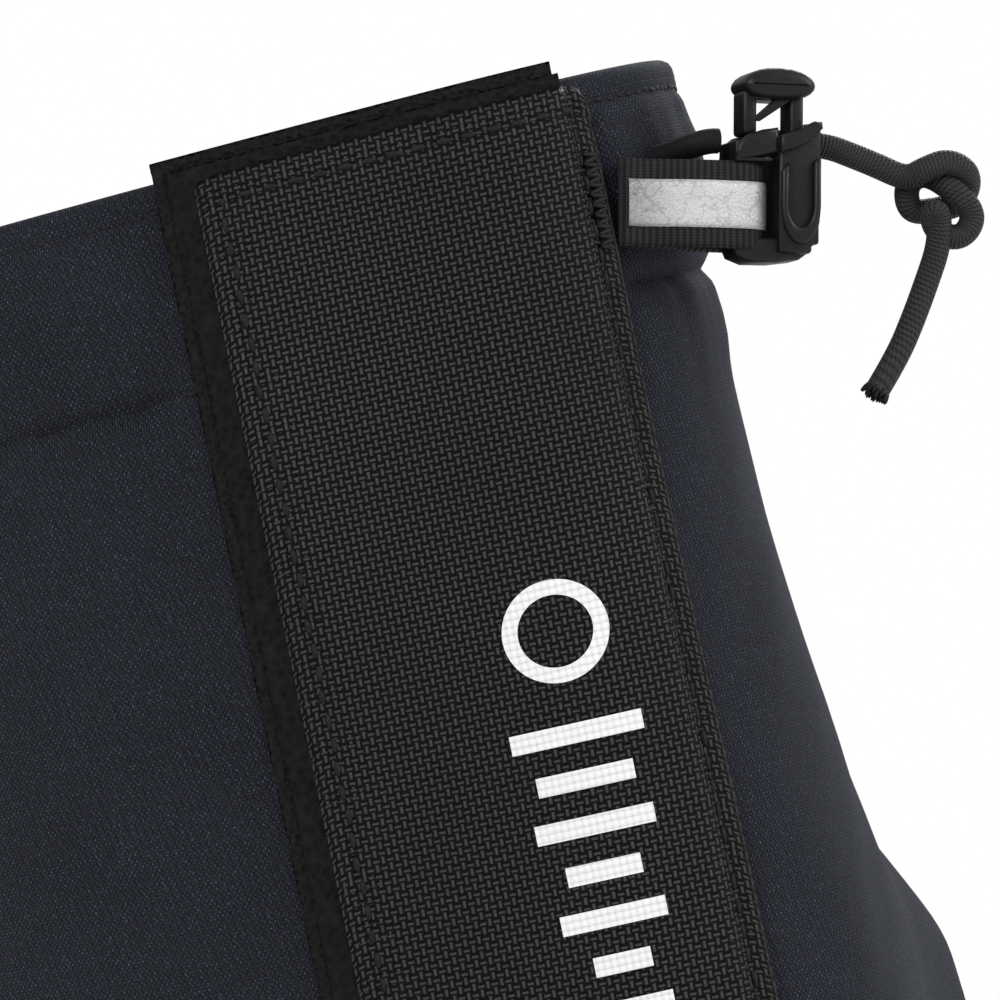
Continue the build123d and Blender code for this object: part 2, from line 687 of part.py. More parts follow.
def instep_strap():
    """Strap from the inner rivet, under the boot and up through the buckle."""
    half = STRAP_WALL / 2
    low, bend, top = leg_line(-1)
    frame = leg_frame()
    tail = frame.from_local_coords((STRAP_TAIL, 0, STRAP_LINE))
    foot = frame.from_local_coords((-BUCKLE_LENGTH / 2 - 4.0, 0, STRAP_LINE))
    points = [(-top.X - half, PIVOT_Z + 8), (-bend.X - half, bend.Z), (-low.X - half, low.Z),
              (-low.X - half, half), (foot.X + 0.5, half), (foot.X, foot.Z), (tail.X, tail.Z)]
    path = FilletPolyline(*[Vector(x, 0, z) for x, z in points],
                          radius=[12.0, 10.0, STRAP_CORNER_R, STRAP_CORNER_R - 2.5, 10.0])
    wire = path.wire()
    start = Plane(origin=wire @ 0, x_dir=(0, 1, 0), z_dir=wire % 0)
    strap = sweep(start * Rectangle(STRAP_WIDTH, STRAP_WALL), path=wire)
    hole = Pos(points[0][0], 0, PIVOT_Z) * Rot(0, 90, 0) * Cylinder(RIVET_R + RIVET_FIT, 4 * STRAP_WALL)
    return strap - hole


def strap_patch(sign):
    """Patch sewn on the shell under a rivet."""
    station = side_station(sign, PIVOT_Z) / around(PIVOT_Z)
    return band(lambda z: around(z) * station - PATCH_HALF, lambda z: around(z) * station + PATCH_HALF,
                PIVOT_Z - PATCH_HALF, PIVOT_Z + PATCH_HALF, LAYER_SKIN, PATCH_WALL, step=12)


def strap_rivet(sign):
    """Rivet: washer inside the shell, shank, spacer on the patch and the head over the strap."""
    side = side_x(sign, PIVOT_Z)
    face = leg_line(sign)[2].X
    plate = BUCKLE_SHEET if sign > 0 else STRAP_WALL
    head_x = face + plate + SEAM_GAP
    inside = side - SHELL_WALL - RIVET_WASHER

    def disc(radius, start, end):
        """A round slice of the rivet between two places on its axis."""
        return Pos((start + end) / 2, 0, PIVOT_Z) * Rot(0, 90, 0) * Cylinder(radius, end - start)

    head = disc(RIVET_HEAD_R, head_x, head_x + RIVET_HEAD_H)
    head = fillet(head.edges().sort_by(Axis.X)[-1], RIVET_HEAD_H * 0.7)
    rivet = disc(RIVET_R, inside, head_x + 0.1) + head
    rivet += disc(RIVET_HEAD_R, inside, inside + RIVET_WASHER)
    rivet += disc(RIVET_R + 1.2, side + PATCH_WALL, face - SEAM_GAP)
    return rivet if sign > 0 else mirror(rivet, about=Plane.YZ)


def buckle_frame():
    """Sheet behind the strap with two cheeks for the pin, and its ear bent up to the rivet."""
    frame = leg_frame()
    low, bend, top = leg_line(1)
    out = BUCKLE_SHEET / 2
    wide = CHEEK_INSIDE + BUCKLE_SHEET
    foot = frame.from_local_coords((-BUCKLE_LENGTH / 2, 0, 0))
    points = [foot, Vector(bend.X + out, 0, bend.Z), Vector(top.X + out, 0, PIVOT_Z + EAR_HALF)]
    wire = FilletPolyline(*points, radius=6.0).wire()
    start = Plane(origin=wire @ 0, x_dir=(0, 1, 0), z_dir=wire % 0)
    sheet = sweep(start * Rectangle(2 * wide, BUCKLE_SHEET), path=wire)
    ear = Pos(top.X, 0, PIVOT_Z) * Rot(0, 90, 0) * Cylinder(EAR_HALF, 8.0)
    neck = Pos(top.X, 0, PIVOT_Z - 6.0) * Box(8.0, 2 * EAR_HALF, 12.0)
    upper = Pos(top.X, 0, PIVOT_Z + 10.0) * Box(8.0, 4 * wide, 2 * (PIVOT_Z + 10.0 - bend.Z))
    sheet -= upper - ear - neck
    tall = PIN_LINE + BUCKLE_PIN_R + 1.4 + out
    for side in (-1, 1):
        cheek = Box(BUCKLE_LENGTH, BUCKLE_SHEET, tall)
        cheek = fillet(cheek.edges().filter_by(Axis.Y).sort_by(Axis.Z)[-2:], 2.5)
        sheet += frame * Pos(0, side * (CHEEK_INSIDE + BUCKLE_SHEET / 2), tall / 2 - out) * cheek
    bore = frame * Pos(0, 0, PIN_LINE) * Rot(90, 0, 0) * Cylinder(BUCKLE_PIN_R, 4 * wide)
    hole = Pos(top.X, 0, PIVOT_Z) * Rot(0, 90, 0) * Cylinder(RIVET_R + RIVET_FIT, 8.0)
    return sheet - bore - hole


def buckle_pin():
    """Pin pressed in the two cheeks, a little proud of each."""
    reach = 2 * (CHEEK_INSIDE + BUCKLE_SHEET + 0.4)
    return leg_frame() * Pos(0, 0, PIN_LINE) * Rot(90, 0, 0) * Cylinder(BUCKLE_PIN_R, reach)


def buckle_lever():
    """Cam lever: barrel on the pin, the cam lobe over the strap and the thumb plate."""
    half = CHEEK_INSIDE - BUCKLE_SIDE_GAP
    lobe = BUCKLE_PIN_OUT - CAM_GAP
    barrel = Rot(90, 0, 0) * Cylinder(LEVER_BARREL_R, 2 * half)
    cam = Pos(0.4, 0, -lobe / 2) * Box(2.0, 2 * half, lobe)
    plate = Pos(-LEVER_LENGTH / 2, 0, LEVER_BARREL_R - LEVER_PLATE / 2) * Box(
        LEVER_LENGTH, 2 * half, LEVER_PLATE)
    plate = fillet(plate.edges().filter_by(Axis.Z).sort_by(Axis.X)[:2], 3.0)
    lever = barrel + cam + plate
    lever -= Rot(90, 0, 0) * Cylinder(BUCKLE_PIN_R + LEVER_FIT, 4 * half)
    return leg_frame() * Pos(0, 0, PIN_LINE) * lever


# ---- lace hook ----------------------------------------------------------------------------------
def hook_frame():
    """Frame on the shell's inner face at the closure line: x up, z inwards."""
    return Plane(origin=spot(0, HOOK_Z, -SHELL_WALL), x_dir=(0, 0, 1), z_dir=-facing(0, HOOK_Z))


def hook_patch():
    """Patch behind the hook's plate, inside the shell."""
    return band(-PATCH_HALF, PATCH_HALF, HOOK_Z - 9, HOOK_Z + 12, -SHELL_WALL - PATCH_WALL,
                -SHELL_WALL - LAYER_SKIN, step=8)


def lace_hook():
    """Flat plate with two bent wires that make one wide hook for a boot lace."""
    base = PATCH_WALL + HOOK_STAND
    plate = Pos(3.0, 0, base + HOOK_PLATE / 2) * Box(12.0, HOOK_WIDTH, HOOK_PLATE)
    plate = fillet(plate.edges().filter_by(Axis.Z), 2.5)
    shape = plate
    wire_line = base + HOOK_WIRE_R
    reach = HOOK_THROAT + 2 * HOOK_WIRE_R
    for side in (-1, 1):
        y = side * (HOOK_WIDTH / 2 - HOOK_WIRE_R)
        points = [(0, y, wire_line), (-HOOK_DROP, y, wire_line), (-HOOK_DROP, y, wire_line + reach),
                  (-HOOK_DROP + 8.0, y, wire_line + reach)]
        path = FilletPolyline(*points, radius=reach / 2 - 0.2).wire()
        rod = sweep(Plane(origin=path @ 0, z_dir=path % 0) * Circle(HOOK_WIRE_R), path=path)
        shape += rod
    bar = Pos(-HOOK_DROP + 8.0, 0, wire_line + reach) * Rot(90, 0, 0) * Cylinder(HOOK_WIRE_R, HOOK_WIDTH)
    return hook_frame() * (shape + bar)


def hook_rivet():
    """Rivet through the hook's plate, the patch and the shell."""
    top = PATCH_WALL + HOOK_STAND + HOOK_PLATE
    shank = Pos(0, 0, (top + 0.8 - SHELL_WALL - 0.8) / 2) * Cylinder(1.6, top + 1.6 + SHELL_WALL)
    head = Pos(0, 0, top + 0.4) * Cylinder(3.2, 0.8)
    back = Pos(0, 0, -SHELL_WALL - 0.5) * Cylinder(3.6, 0.8)
    return hook_frame() * Pos(4.5, 0, 0) * (shank + head + back)


# ---- nodes --------------------------------------------------------------------------------------
NODES = {
    "upper_outer_panel": upper_outer_panel,
    "upper_inner_panel": upper_inner_panel,
    "lower_outer_panel": lower_outer_panel,
    "lower_inner_panel": lower_inner_panel,
    "scuff_patch": scuff_patch,
    "waist_tape": waist_tape,
    "casing_facing": casing_facing,
    "ankle_elastic": ankle_elastic,
    "hem_binding": hem_binding,
    "hook_tape": hook_tape,
    "loop_tape": loop_tape,
    "flap_panel": flap_panel,
    "flap_seam_strip": flap_seam_strip,
    "webbing_tab": webbing_tab,
    "reflective_strip": reflective_strip,
    "tab_bartack": tab_bartack,
    "eyelet": eyelet,
    "drawcord_ring": drawcord_ring,
    "drawcord_lead": drawcord_lead,
    "drawcord_strand": drawcord_strand,
    "drawcord_knot": drawcord_knot,
    "drawcord_tail": drawcord_tail,
    "lock_body": lock_body,
    "lock_plunger": lock_plunger,
    "lock_spring": lock_spring,
    "instep_strap": instep_strap,
    "outer_strap_patch": lambda: strap_patch(1),
    "inner_strap_patch": lambda: strap_patch(-1),
    "outer_strap_rivet": lambda: strap_rivet(1),
    "inner_strap_rivet": lambda: strap_rivet(-1),
    "buckle_frame": buckle_frame,
    "buckle_pin": buckle_pin,
    "buckle_lever": buckle_lever,
    "lace_hook": lace_hook,
    "hook_patch": hook_patch,
    "hook_rivet": hook_rivet,
}

os.makedirs("parts", exist_ok=True)
for name, make in NODES.items():
    export_step(make(), f"parts/{name}.step")
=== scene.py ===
"""A knee-high mountaineering gaiter: cloth panels, front closure, cord lock, drawcord and instep strap."""
import json
import logging
import math
import random
from dataclasses import dataclass, field
from enum import Enum
from typing import Callable, Sequence

import bmesh
import bpy
import numpy as np
from mathutils import Matrix, Vector

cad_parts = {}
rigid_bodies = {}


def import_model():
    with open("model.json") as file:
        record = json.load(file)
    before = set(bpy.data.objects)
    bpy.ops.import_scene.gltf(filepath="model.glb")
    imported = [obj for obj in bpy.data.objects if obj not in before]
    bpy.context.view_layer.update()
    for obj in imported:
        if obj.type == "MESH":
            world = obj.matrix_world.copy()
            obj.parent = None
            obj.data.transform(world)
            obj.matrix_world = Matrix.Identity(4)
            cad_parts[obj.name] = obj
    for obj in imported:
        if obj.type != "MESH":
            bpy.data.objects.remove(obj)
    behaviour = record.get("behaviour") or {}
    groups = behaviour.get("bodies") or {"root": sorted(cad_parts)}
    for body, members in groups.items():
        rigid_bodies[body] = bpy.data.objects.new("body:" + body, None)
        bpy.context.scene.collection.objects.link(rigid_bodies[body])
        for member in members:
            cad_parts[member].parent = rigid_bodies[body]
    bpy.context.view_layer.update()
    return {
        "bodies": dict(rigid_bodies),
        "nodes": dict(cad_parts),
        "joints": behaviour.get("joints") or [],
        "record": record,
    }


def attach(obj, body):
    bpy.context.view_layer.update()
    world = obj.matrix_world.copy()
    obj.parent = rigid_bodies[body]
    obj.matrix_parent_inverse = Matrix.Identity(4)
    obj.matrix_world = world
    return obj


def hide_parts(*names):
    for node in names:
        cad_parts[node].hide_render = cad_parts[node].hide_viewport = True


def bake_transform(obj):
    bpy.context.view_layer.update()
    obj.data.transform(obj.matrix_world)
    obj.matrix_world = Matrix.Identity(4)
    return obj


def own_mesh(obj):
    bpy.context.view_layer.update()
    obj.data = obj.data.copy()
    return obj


MM = 0.001
LOG = logging.getLogger("gaiter")
Point = tuple[float, float, float]


class Weave(Enum):
    """Directions of a woven or ribbed surface."""

    ALONG = "along the leg"
    AROUND = "around the leg"


# ---- shader expressions -------------------------------------------------------------------------
class Sock:
    """One shader socket, or a number, that takes part in expressions."""

    def __init__(self, tree: "Graph", link: bpy.types.NodeSocket) -> None:
        """Args:
            tree: the graph that new nodes go to.
            link: the output socket that this stands for.
        """
        self.tree, self.link = tree, link

    def math(self, operation: str, *others: "Sock | float") -> "Sock":
        """A Math node on this value.

        Args:
            operation: the Math node's operation.
            others: its further inputs.

        Returns:
            Its result.
        """
        values = {0: self}
        values.update({index + 1: value for index, value in enumerate(others)})
        return self.tree.node("ShaderNodeMath", {"operation": operation}, values)

    def __add__(self, other: "Sock | float") -> "Sock":
        """Sum."""
        return self.math("ADD", other)

    def __sub__(self, other: "Sock | float") -> "Sock":
        """Difference."""
        return self.math("SUBTRACT", other)

    def __mul__(self, other: "Sock | float") -> "Sock":
        """Product."""
        return self.math("MULTIPLY", other)

    def __truediv__(self, other: "Sock | float") -> "Sock":
        """Quotient."""
        return self.math("DIVIDE", other)

    def __rsub__(self, other: float) -> "Sock":
        """A number less this."""
        return self.math("MULTIPLY", -1.0).math("ADD", other)

    __radd__, __rmul__ = __add__, __mul__

    def power(self, exponent: float) -> "Sock":
        """This to a power."""
        return self.math("POWER", exponent)

    def fract(self) -> "Sock":
        """Fractional part."""
        return self.math("FRACT")

    def floor(self) -> "Sock":
        """Whole part."""
        return self.math("FLOOR")

    def abs(self) -> "Sock":
        """Size without sign."""
        return self.math("ABSOLUTE")

    def wave(self, pitch: float) -> "Sock":
        """A sine of this length that repeats each pitch, from 0 to 1."""
        return (self * (2 * math.pi / pitch)).math("SINE") * 0.5 + 0.5

    def clamp(self) -> "Sock":
        """This held between 0 and 1."""
        return self.math("MAXIMUM", 0.0).math("MINIMUM", 1.0)

    def bell(self, half: float) -> "Sock":
        """1 in the middle, falling in a curve to 0 at the half width on each side."""
        ratio = self / half
        return (1.0 - ratio * ratio).clamp()


class Graph:
    """Nodes of one material, and the few calls that finishes use."""

    def __init__(self, name: str) -> None:
        """Args: name: the material's name."""
        self.material = bpy.data.materials.new(name)
        self.material.use_nodes = True
        self.nodes = self.material.node_tree.nodes
        self.links = self.material.node_tree.links
        self.shader = self.nodes["Principled BSDF"]

    def node(self, kind: str, settings: dict, values: dict, output: int | str = 0) -> Sock:
        """One node.

        Args:
            kind: the node's type.
            settings: properties set first, or {"stops": [(place, colour), ...]} for a ramp.
            values: values or links by input name or index.
            output: which output to give back.

        Returns:
            The wrapped output socket.
        """
        made = self.nodes.new(kind)
        for key, value in settings.items():
            if key == "stops":
                elements = made.color_ramp.elements
                while len(elements) < len(value):
                    elements.new(1.0)
                for element, (place, colour) in zip(elements, value):
                    element.position, element.color = place, colour
            else:
                setattr(made, key, value)
        for key, value in values.items():
            socket = made.inputs[key]
            if isinstance(value, Sock):
                self.links.new(value.link, socket)
            else:
                socket.default_value = value
        return Sock(self, made.outputs[output])

    def place(self) -> Sock:
        """The piece's own coordinates, in metres."""
        return self.node("ShaderNodeTexCoord", {}, {}, "Object")

    def cloth(self) -> tuple[Sock, Sock]:
        """Millimetres along and up the cloth, from its UV map."""
        uv = self.node("ShaderNodeTexCoord", {}, {}, "UV")
        return self.split(uv)

    def split(self, vector: Sock) -> tuple[Sock, Sock]:
        """First two parts of a vector."""
        made = self.nodes.new("ShaderNodeSeparateXYZ")
        self.links.new(vector.link, made.inputs[0])
        return Sock(self, made.outputs[0]), Sock(self, made.outputs[1])

    def noise(self, scale: float, detail: float = 3.0, vector: Sock | None = None) -> Sock:
        """Noise from 0 to 1.

        Args:
            scale: cells to a metre.
            detail: octaves.
            vector: where it is read, or none for the piece's own place.

        Returns:
            Its value.
        """
        at = vector or self.place()
        return self.node("ShaderNodeTexNoise", {}, {"Vector": at, "Scale": scale, "Detail": detail})

    def tone(self, factor: Sock, low: Sequence[float], high: Sequence[float]) -> Sock:
        """Colour from low to high as the factor goes from 0 to 1."""
        stops = [(0.0, (*low, 1)), (1.0, (*high, 1))]
        return self.node("ShaderNodeValToRGB", {"stops": stops}, {0: factor})

    def lay(self, name: str, value: "Sock | float | tuple") -> None:
        """Link or set one of the shader's sockets."""
        socket = self.shader.inputs[name]
        if isinstance(value, Sock):
            self.links.new(value.link, socket)
        else:
            socket.default_value = value

    def bump(self, height: Sock, depth_mm: float, strength: float = 1.0) -> None:
        """Height in units of depth_mm, to the shader's normal."""
        values = {"Height": height, "Distance": depth_mm * MM, "Strength": strength}
        self.lay("Normal", self.node("ShaderNodeBump", {}, values))


# ---- finishes -----------------------------------------------------------------------------------
@dataclass(frozen=True)
class BallisticNylon:
    """Coarse plain weave of flat filament yarns: upright and level floats in a checkerboard."""

    across: float = 0.80
    up: float = 0.87
    dark: Point = (0.0012, 0.0012, 0.0014)
    light: Point = (0.062, 0.061, 0.060)

    def material(self) -> bpy.types.Material:
        """Returns: the dressed material."""
        g = Graph("ballistic_nylon")
        s, z = g.cloth()
        drift = g.noise(55.0, 2.0) * 0.35
        s, z = s / self.across + drift, z / self.up + drift
        parity = ((s.floor() + z.floor()) * 0.5).fract() * 2.0
        fs, fz = s.fract() - 0.5, z.fract() - 0.5
        upright = fs.bell(0.30) * (1.0 - (fz.abs() * 1.7).power(6.0)).clamp()
        level = (fz + 0.10).bell(0.25) * (1.0 - (fs.abs() * 1.9).power(6.0)).clamp()
        yarn = upright * (1.0 - parity) + level * parity
        fleck = g.noise(2600.0, 2.0)
        worn = g.noise(38.0, 4.0)
        shade = (yarn * (0.45 + fleck * 0.75) * (0.72 + worn * 0.5)).clamp()
        g.lay("Base Color", g.tone(shade, self.dark, self.light))
        g.lay("Roughness", 0.66 - yarn * 0.18)
        g.shader.inputs["Specular IOR Level"].default_value = 0.10
        g.bump(yarn + fleck * 0.12, 0.16)
        return g.material


@dataclass(frozen=True)
class PlainWeave:
    """Fine plain weave, with its yarns grouped, and a fuzz that lightens it at grazing angles."""

    name: str = "softshell"
    warp: float = 0.31
    weft: float = 0.39
    group: float = 0.93
    dark: Point = (0.0022, 0.0026, 0.0045)
    light: Point = (0.082, 0.088, 0.112)
    sheen: float = 0.10
    relief: float = 0.09

    def material(self) -> bpy.types.Material:
        """Returns: the dressed material."""
        g = Graph(self.name)
        s, z = g.cloth()
        drift = g.noise(90.0, 2.0) * 0.5
        a = s / self.warp + drift
        b = z / self.weft + drift
        parity = ((a.floor() + b.floor()) * 0.5).fract() * 2.0
        fa, fb = a.fract() - 0.5, b.fract() - 0.5
        yarn = fa.bell(0.46) * (0.35 + parity * 0.65) * fb.bell(0.62)
        groups = (s + z * 0.22).wave(self.group)
        fleck = g.noise(3200.0, 1.0)
        fleck = ((fleck - 0.52) * 5.0).clamp()
        cloud = g.noise(60.0, 4.0)
        shade = (yarn * 0.30 + groups * 0.05 + fleck * 0.75 * yarn + cloud * 0.10).clamp()
        g.lay("Base Color", g.tone(shade, self.dark, self.light))
        g.lay("Roughness", 0.82 - yarn * 0.12)
        g.shader.inputs["Sheen Weight"].default_value = self.sheen
        g.shader.inputs["Sheen Roughness"].default_value = 0.35
        g.shader.inputs["Sheen Tint"].default_value = (0.62, 0.67, 0.80, 1)
        g.shader.inputs["Specular IOR Level"].default_value = 0.06
        g.bump(yarn + groups * 0.25 + fleck * 0.3, self.relief)
        return g.material


@dataclass(frozen=True)
class RibbedWeb:
    """Webbing or tape with ribs across it."""

    name: str = "grosgrain"
    pitch: float = 0.8
    direction: Weave = Weave.ALONG
    dark: Point = (0.0012, 0.0012, 0.0015)
    light: Point = (0.026, 0.026, 0.028)
    depth: float = 0.18

    def material(self) -> bpy.types.Material:
        """Returns: the dressed material."""
        g = Graph(self.name)
        s, z = g.cloth()
        main, other = (s, z) if self.direction is Weave.ALONG else (z, s)
        drift = g.noise(400.0, 2.0) * 0.12
        rib = (main + drift).wave(self.pitch)
        yarn = (other + rib * 0.05).wave(0.34)
        fibre = g.noise(3500.0, 2.0)
        shade = (rib * 0.6 + yarn * 0.2 + fibre * 0.35 - 0.1).clamp()
        g.lay("Base Color", g.tone(shade, self.dark, self.light))
        g.lay("Roughness", 0.72 - rib * 0.15)
        g.shader.inputs["Sheen Weight"].default_value = 0.03
        g.shader.inputs["Specular IOR Level"].default_value = 0.15
        g.bump(rib + yarn * 0.25 + fibre * 0.2, self.depth)
        return g.material


@dataclass(frozen=True)
class Pile:
    """Hooks or loops of a fastener tape."""

    name: str = "loop_pile"
    cell: float = 900.0
    light: Point = (0.018, 0.018, 0.019)

    def material(self) -> bpy.types.Material:
        """Returns: the dressed material."""
        g = Graph(self.name)
        cells = g.node("ShaderNodeTexVoronoi", {}, {"Vector": g.place(), "Scale": self.cell})
        fuzz = g.noise(2600.0, 3.0)
        shade = (cells * 0.5 + fuzz * 0.5).clamp()
        g.lay("Base Color", g.tone(shade, (0.0008, 0.0008, 0.0010), self.light))
        g.lay("Roughness", 0.75 + fuzz * 0.15)
        g.shader.inputs["Specular IOR Level"].default_value = 0.08
        g.bump(cells + fuzz * 0.5, 0.45)
        return g.material


@dataclass(frozen=True)
class Reflective:
    """Silver tape of fine glass beads, crazed where it has flexed, with a painted highlight along the middle
    of its run. Millimetres.
    """

    highlight_at: float = 9.6
    highlight_half: float = 8.5

    def material(self) -> bpy.types.Material:
        """Returns: the dressed material."""
        g = Graph("reflective_tape")
        beads = g.node("ShaderNodeTexVoronoi", {}, {"Vector": g.place(), "Scale": 3400.0})
        cloud = g.noise(420.0, 5.0)
        grain = g.noise(5200.0, 2.0)
        across = g.cloth()[0]
        # painted highlight: the tape is painted lighter along the middle of its run and darker towards both
        # of its ends
        painted_highlight = (across - self.highlight_at).bell(self.highlight_half)
        crease = (cloud - 0.5).abs().bell(0.035)
        shade = (0.24 + painted_highlight * 0.42 + grain * 0.34 - beads * 0.22 - crease * 0.16).clamp()
        g.lay("Base Color", g.tone(shade, (0.13, 0.13, 0.135), (0.78, 0.78, 0.78)))
        g.shader.inputs["Metallic"].default_value = 0.35
        g.lay("Roughness", 0.42 + grain * 0.25)
        g.bump(cloud * 0.8 + beads * 0.6 + grain * 0.4, 0.12)
        return g.material


@dataclass(frozen=True)
class Thread:
    """Twisted sewing thread."""

    name: str = "thread_black"
    dark: Point = (0.0015, 0.0015, 0.0016)
    light: Point = (0.022, 0.022, 0.023)

    def material(self) -> bpy.types.Material:
        """Returns: the dressed material."""
        g = Graph(self.name)
        twist = g.noise(2400.0, 2.0)
        g.lay("Base Color", g.tone(twist, self.dark, self.light))
        g.lay("Roughness", 0.45 + twist * 0.25)
        g.shader.inputs["Specular IOR Level"].default_value = 0.15
        g.bump(twist, 0.06)
        return g.material


@dataclass(frozen=True)
class CordSheath:
    """Braided sheath of an elastic cord, with fine ribs round it."""

    ribs: float = 170.0
    name: str = "cord_sheath"

    def material(self) -> bpy.types.Material:
        """Returns: the dressed material."""
        g = Graph(self.name)
        along, turn = g.cloth()
        rib = ((along * self.ribs + turn * 2.0).fract() - 0.5).bell(0.5)
        strand = ((turn * 16.0 + along * self.ribs * 0.5).fract() - 0.5).bell(0.5)
        fibre = g.noise(3000.0, 2.0)
        shade = (rib * 0.45 + strand * 0.25 + fibre * 0.3).clamp()
        g.lay("Base Color", g.tone(shade, (0.0012, 0.0012, 0.0016), (0.036, 0.036, 0.040)))
        g.lay("Roughness", 0.62 - rib * 0.12)
        g.shader.inputs["Sheen Weight"].default_value = 0.03
        g.shader.inputs["Specular IOR Level"].default_value = 0.15
        g.bump(rib + strand * 0.5, 0.12)
        return g.material


@dataclass(frozen=True)
class Moulded:
    """Moulded plastic or coated metal, with a fine spark-eroded grain and a few rubbed places."""

    name: str = "acetal"
    base: Point = (0.0022, 0.0022, 0.0025)
    rubbed: Point = (0.010, 0.010, 0.011)
    roughness: float = 0.36
    metallic: float = 0.0
    grain: float = 1900.0
    depth: float = 0.035

    def material(self) -> bpy.types.Material:
        """Returns: the dressed material."""
        g = Graph(self.name)
        grain = g.noise(self.grain, 3.0)
        patch = g.noise(120.0, 4.0)
        shade = (patch * 0.9 - 0.15 + grain * 0.25).clamp()
        g.lay("Base Color", g.tone(shade, self.base, self.rubbed))
        g.lay("Roughness", self.roughness + grain * 0.22 - 0.08 + patch * 0.1)
        g.shader.inputs["Metallic"].default_value = self.metallic
        g.shader.inputs["Specular IOR Level"].default_value = 0.30
        g.bump(grain, self.depth)
        return g.material


@dataclass(frozen=True)
class Ink:
    """White print that sits on the weave, with the yarns showing through it."""

    def material(self) -> bpy.types.Material:
        """Returns: the dressed material."""
        g = Graph("print_white")
        s, z = g.cloth()
        rows = ((z / 0.87).fract() - 0.5).bell(0.62)
        columns = ((s / 0.80).fract() - 0.5).bell(0.62)
        speck = g.noise(2800.0, 2.0)
        shade = (0.35 + rows * 0.3 + columns * 0.25 + speck * 0.3).clamp()
        g.lay("Base Color", g.tone(shade, (0.30, 0.30, 0.30), (0.82, 0.82, 0.81)))
        g.lay("Roughness", 0.55 + speck * 0.15)
        g.bump(rows + columns + speck * 0.3, 0.14)
        return g.material


# ---- the leg's form -----------------------------------------------------------------------------
@dataclass
class LegForm:
    """Cross-section of the gaiter at each height, the same curve as the CAD panels. Millimetres."""

    height: float = 435.0
    front_y: tuple[float, float] = (-78.0, -52.0)
    front_x_top: float = 4.5
    roundness: float = 2.5
    sections: tuple = (
        (0.00, 56.0, 56.0, 70.0, 72.0),
        (0.10, 51.0, 51.5, 61.0, 66.0),
        (0.25, 45.0, 46.0, 52.0, 58.0),
        (0.47, 45.5, 58.0, 50.0, 66.0),
        (0.72, 46.0, 74.0, 50.0, 72.0),
        (0.87, 38.5, 73.0, 48.0, 68.0),
        (1.00, 38.0, 70.0, 45.0, 60.0),
    )
    cache: dict = field(default_factory=dict)
    feet: dict = field(default_factory=dict)

    def half_sizes(self, share: float) -> list[float]:
        """Smooth values of the table's columns.

        Args:
            share: share of the height.

        Returns:
            Four sizes.
        """
        rows = [row[0] for row in self.sections]
        right = min(max(sum(row <= share for row in rows), 1), len(rows) - 1)
        left = right - 1
        span = rows[right] - rows[left]
        part = min(max((share - rows[left]) / span, 0.0), 1.0)
        rise = part * part * (3 - 2 * part)
        values = []
        for column in range(1, 5):
            def slope(index: int) -> float:
                """Slope of the column at one row."""
                low, high = max(index - 1, 0), min(index + 1, len(rows) - 1)
                change = self.sections[high][column] - self.sections[low][column]
                return change / (rows[high] - rows[low])

            start = self.sections[left][column] * (1 - rise) + self.sections[right][column] * rise
            leave = span * slope(left) * part * (1 - part) ** 2
            arrive = span * slope(right) * part * part * (1 - part)
            values.append(start + leave - arrive)
        return values

    def ring(self, z: float) -> tuple[np.ndarray, np.ndarray]:
        """Outline at a height.

        Args:
            z: height in millimetres.

        Returns:
            Points and their arc lengths from the front.
        """
        key = round(z, 1)
        if key not in self.cache:
            share = z / self.height
            outer, inner, front, back = self.half_sizes(share)
            angle = np.linspace(-math.pi / 2, 1.5 * math.pi, 721)
            cos_a, sin_a = np.cos(angle), np.sin(angle)
            half_x = np.where(cos_a > 0, outer, inner)
            half_y = np.where(sin_a > 0, back, front)
            power = self.roundness
            radius = (abs(cos_a / half_x) ** power + abs(sin_a / half_y) ** power) ** (-1 / power)
            front_y = self.front_y[0] + (self.front_y[1] - self.front_y[0]) * share
            xy = np.stack([self.front_x_top * share + radius * cos_a, front_y + front + radius * sin_a], 1)
            steps = np.linalg.norm(np.diff(xy, axis=0), axis=1)
            self.cache[key] = xy, np.concatenate([[0.0], np.cumsum(steps)])
        return self.cache[key]

    def around(self, z: float) -> float:
        """Length round the leg at a height."""
        return float(self.ring(z)[1][-1])

    def base(self, s: float, z: float) -> tuple[float, float, float, float]:
        """Foot and outward direction of a station.

        Args:
            s: station round the leg, in millimetres.
            z: height in millimetres.

        Returns:
            The foot's x and y, and the x and y of the direction.
        """
        key = (round(s, 2), round(z, 1))
        if key not in self.feet:
            xy, lengths = self.ring(min(max(z, 0.0), self.height))
            stations = np.array([s - 2.5, s, s + 2.5]) % lengths[-1]
            xs, ys = np.interp(stations, lengths, xy[:, 0]), np.interp(stations, lengths, xy[:, 1])
            along = Vector((xs[2] - xs[0], ys[2] - ys[0])).normalized()
            self.feet[key] = float(xs[1]), float(ys[1]), along.y, -along.x
        return self.feet[key]

    def spot(self, s: float, z: float, offset: float = 0.0) -> Vector:
        """A point on or off the outer face.

        Args:
            s: station round the leg, in millimetres.
            z: height in millimetres.
            offset: distance outwards, in millimetres.

        Returns:
            The point, in metres.
        """
        x, y, out_x, out_y = self.base(s, z)
        return Vector((x + out_x * offset, y + out_y * offset, z)) * MM

    def frame(self, s: float, z: float, offset: float) -> Matrix:
        """Local axes on the surface.

        Args:
            s: station round the leg, in millimetres.
            z: height in millimetres.
            offset: distance outwards, in millimetres.

        Returns:
            The axes' matrix: x along s, y up, z outwards.
        """
        here = self.spot(s, z, offset)
        along = (self.spot(s + 1, z, offset) - self.spot(s - 1, z, offset)).normalized()
        up = (self.spot(s, z + 1, offset) - self.spot(s, z - 1, offset)).normalized()
        out = along.cross(up).normalized()
        matrix = Matrix((along, up, out)).transposed().to_4x4()
        matrix.translation = here
        return matrix


FORM = LegForm()


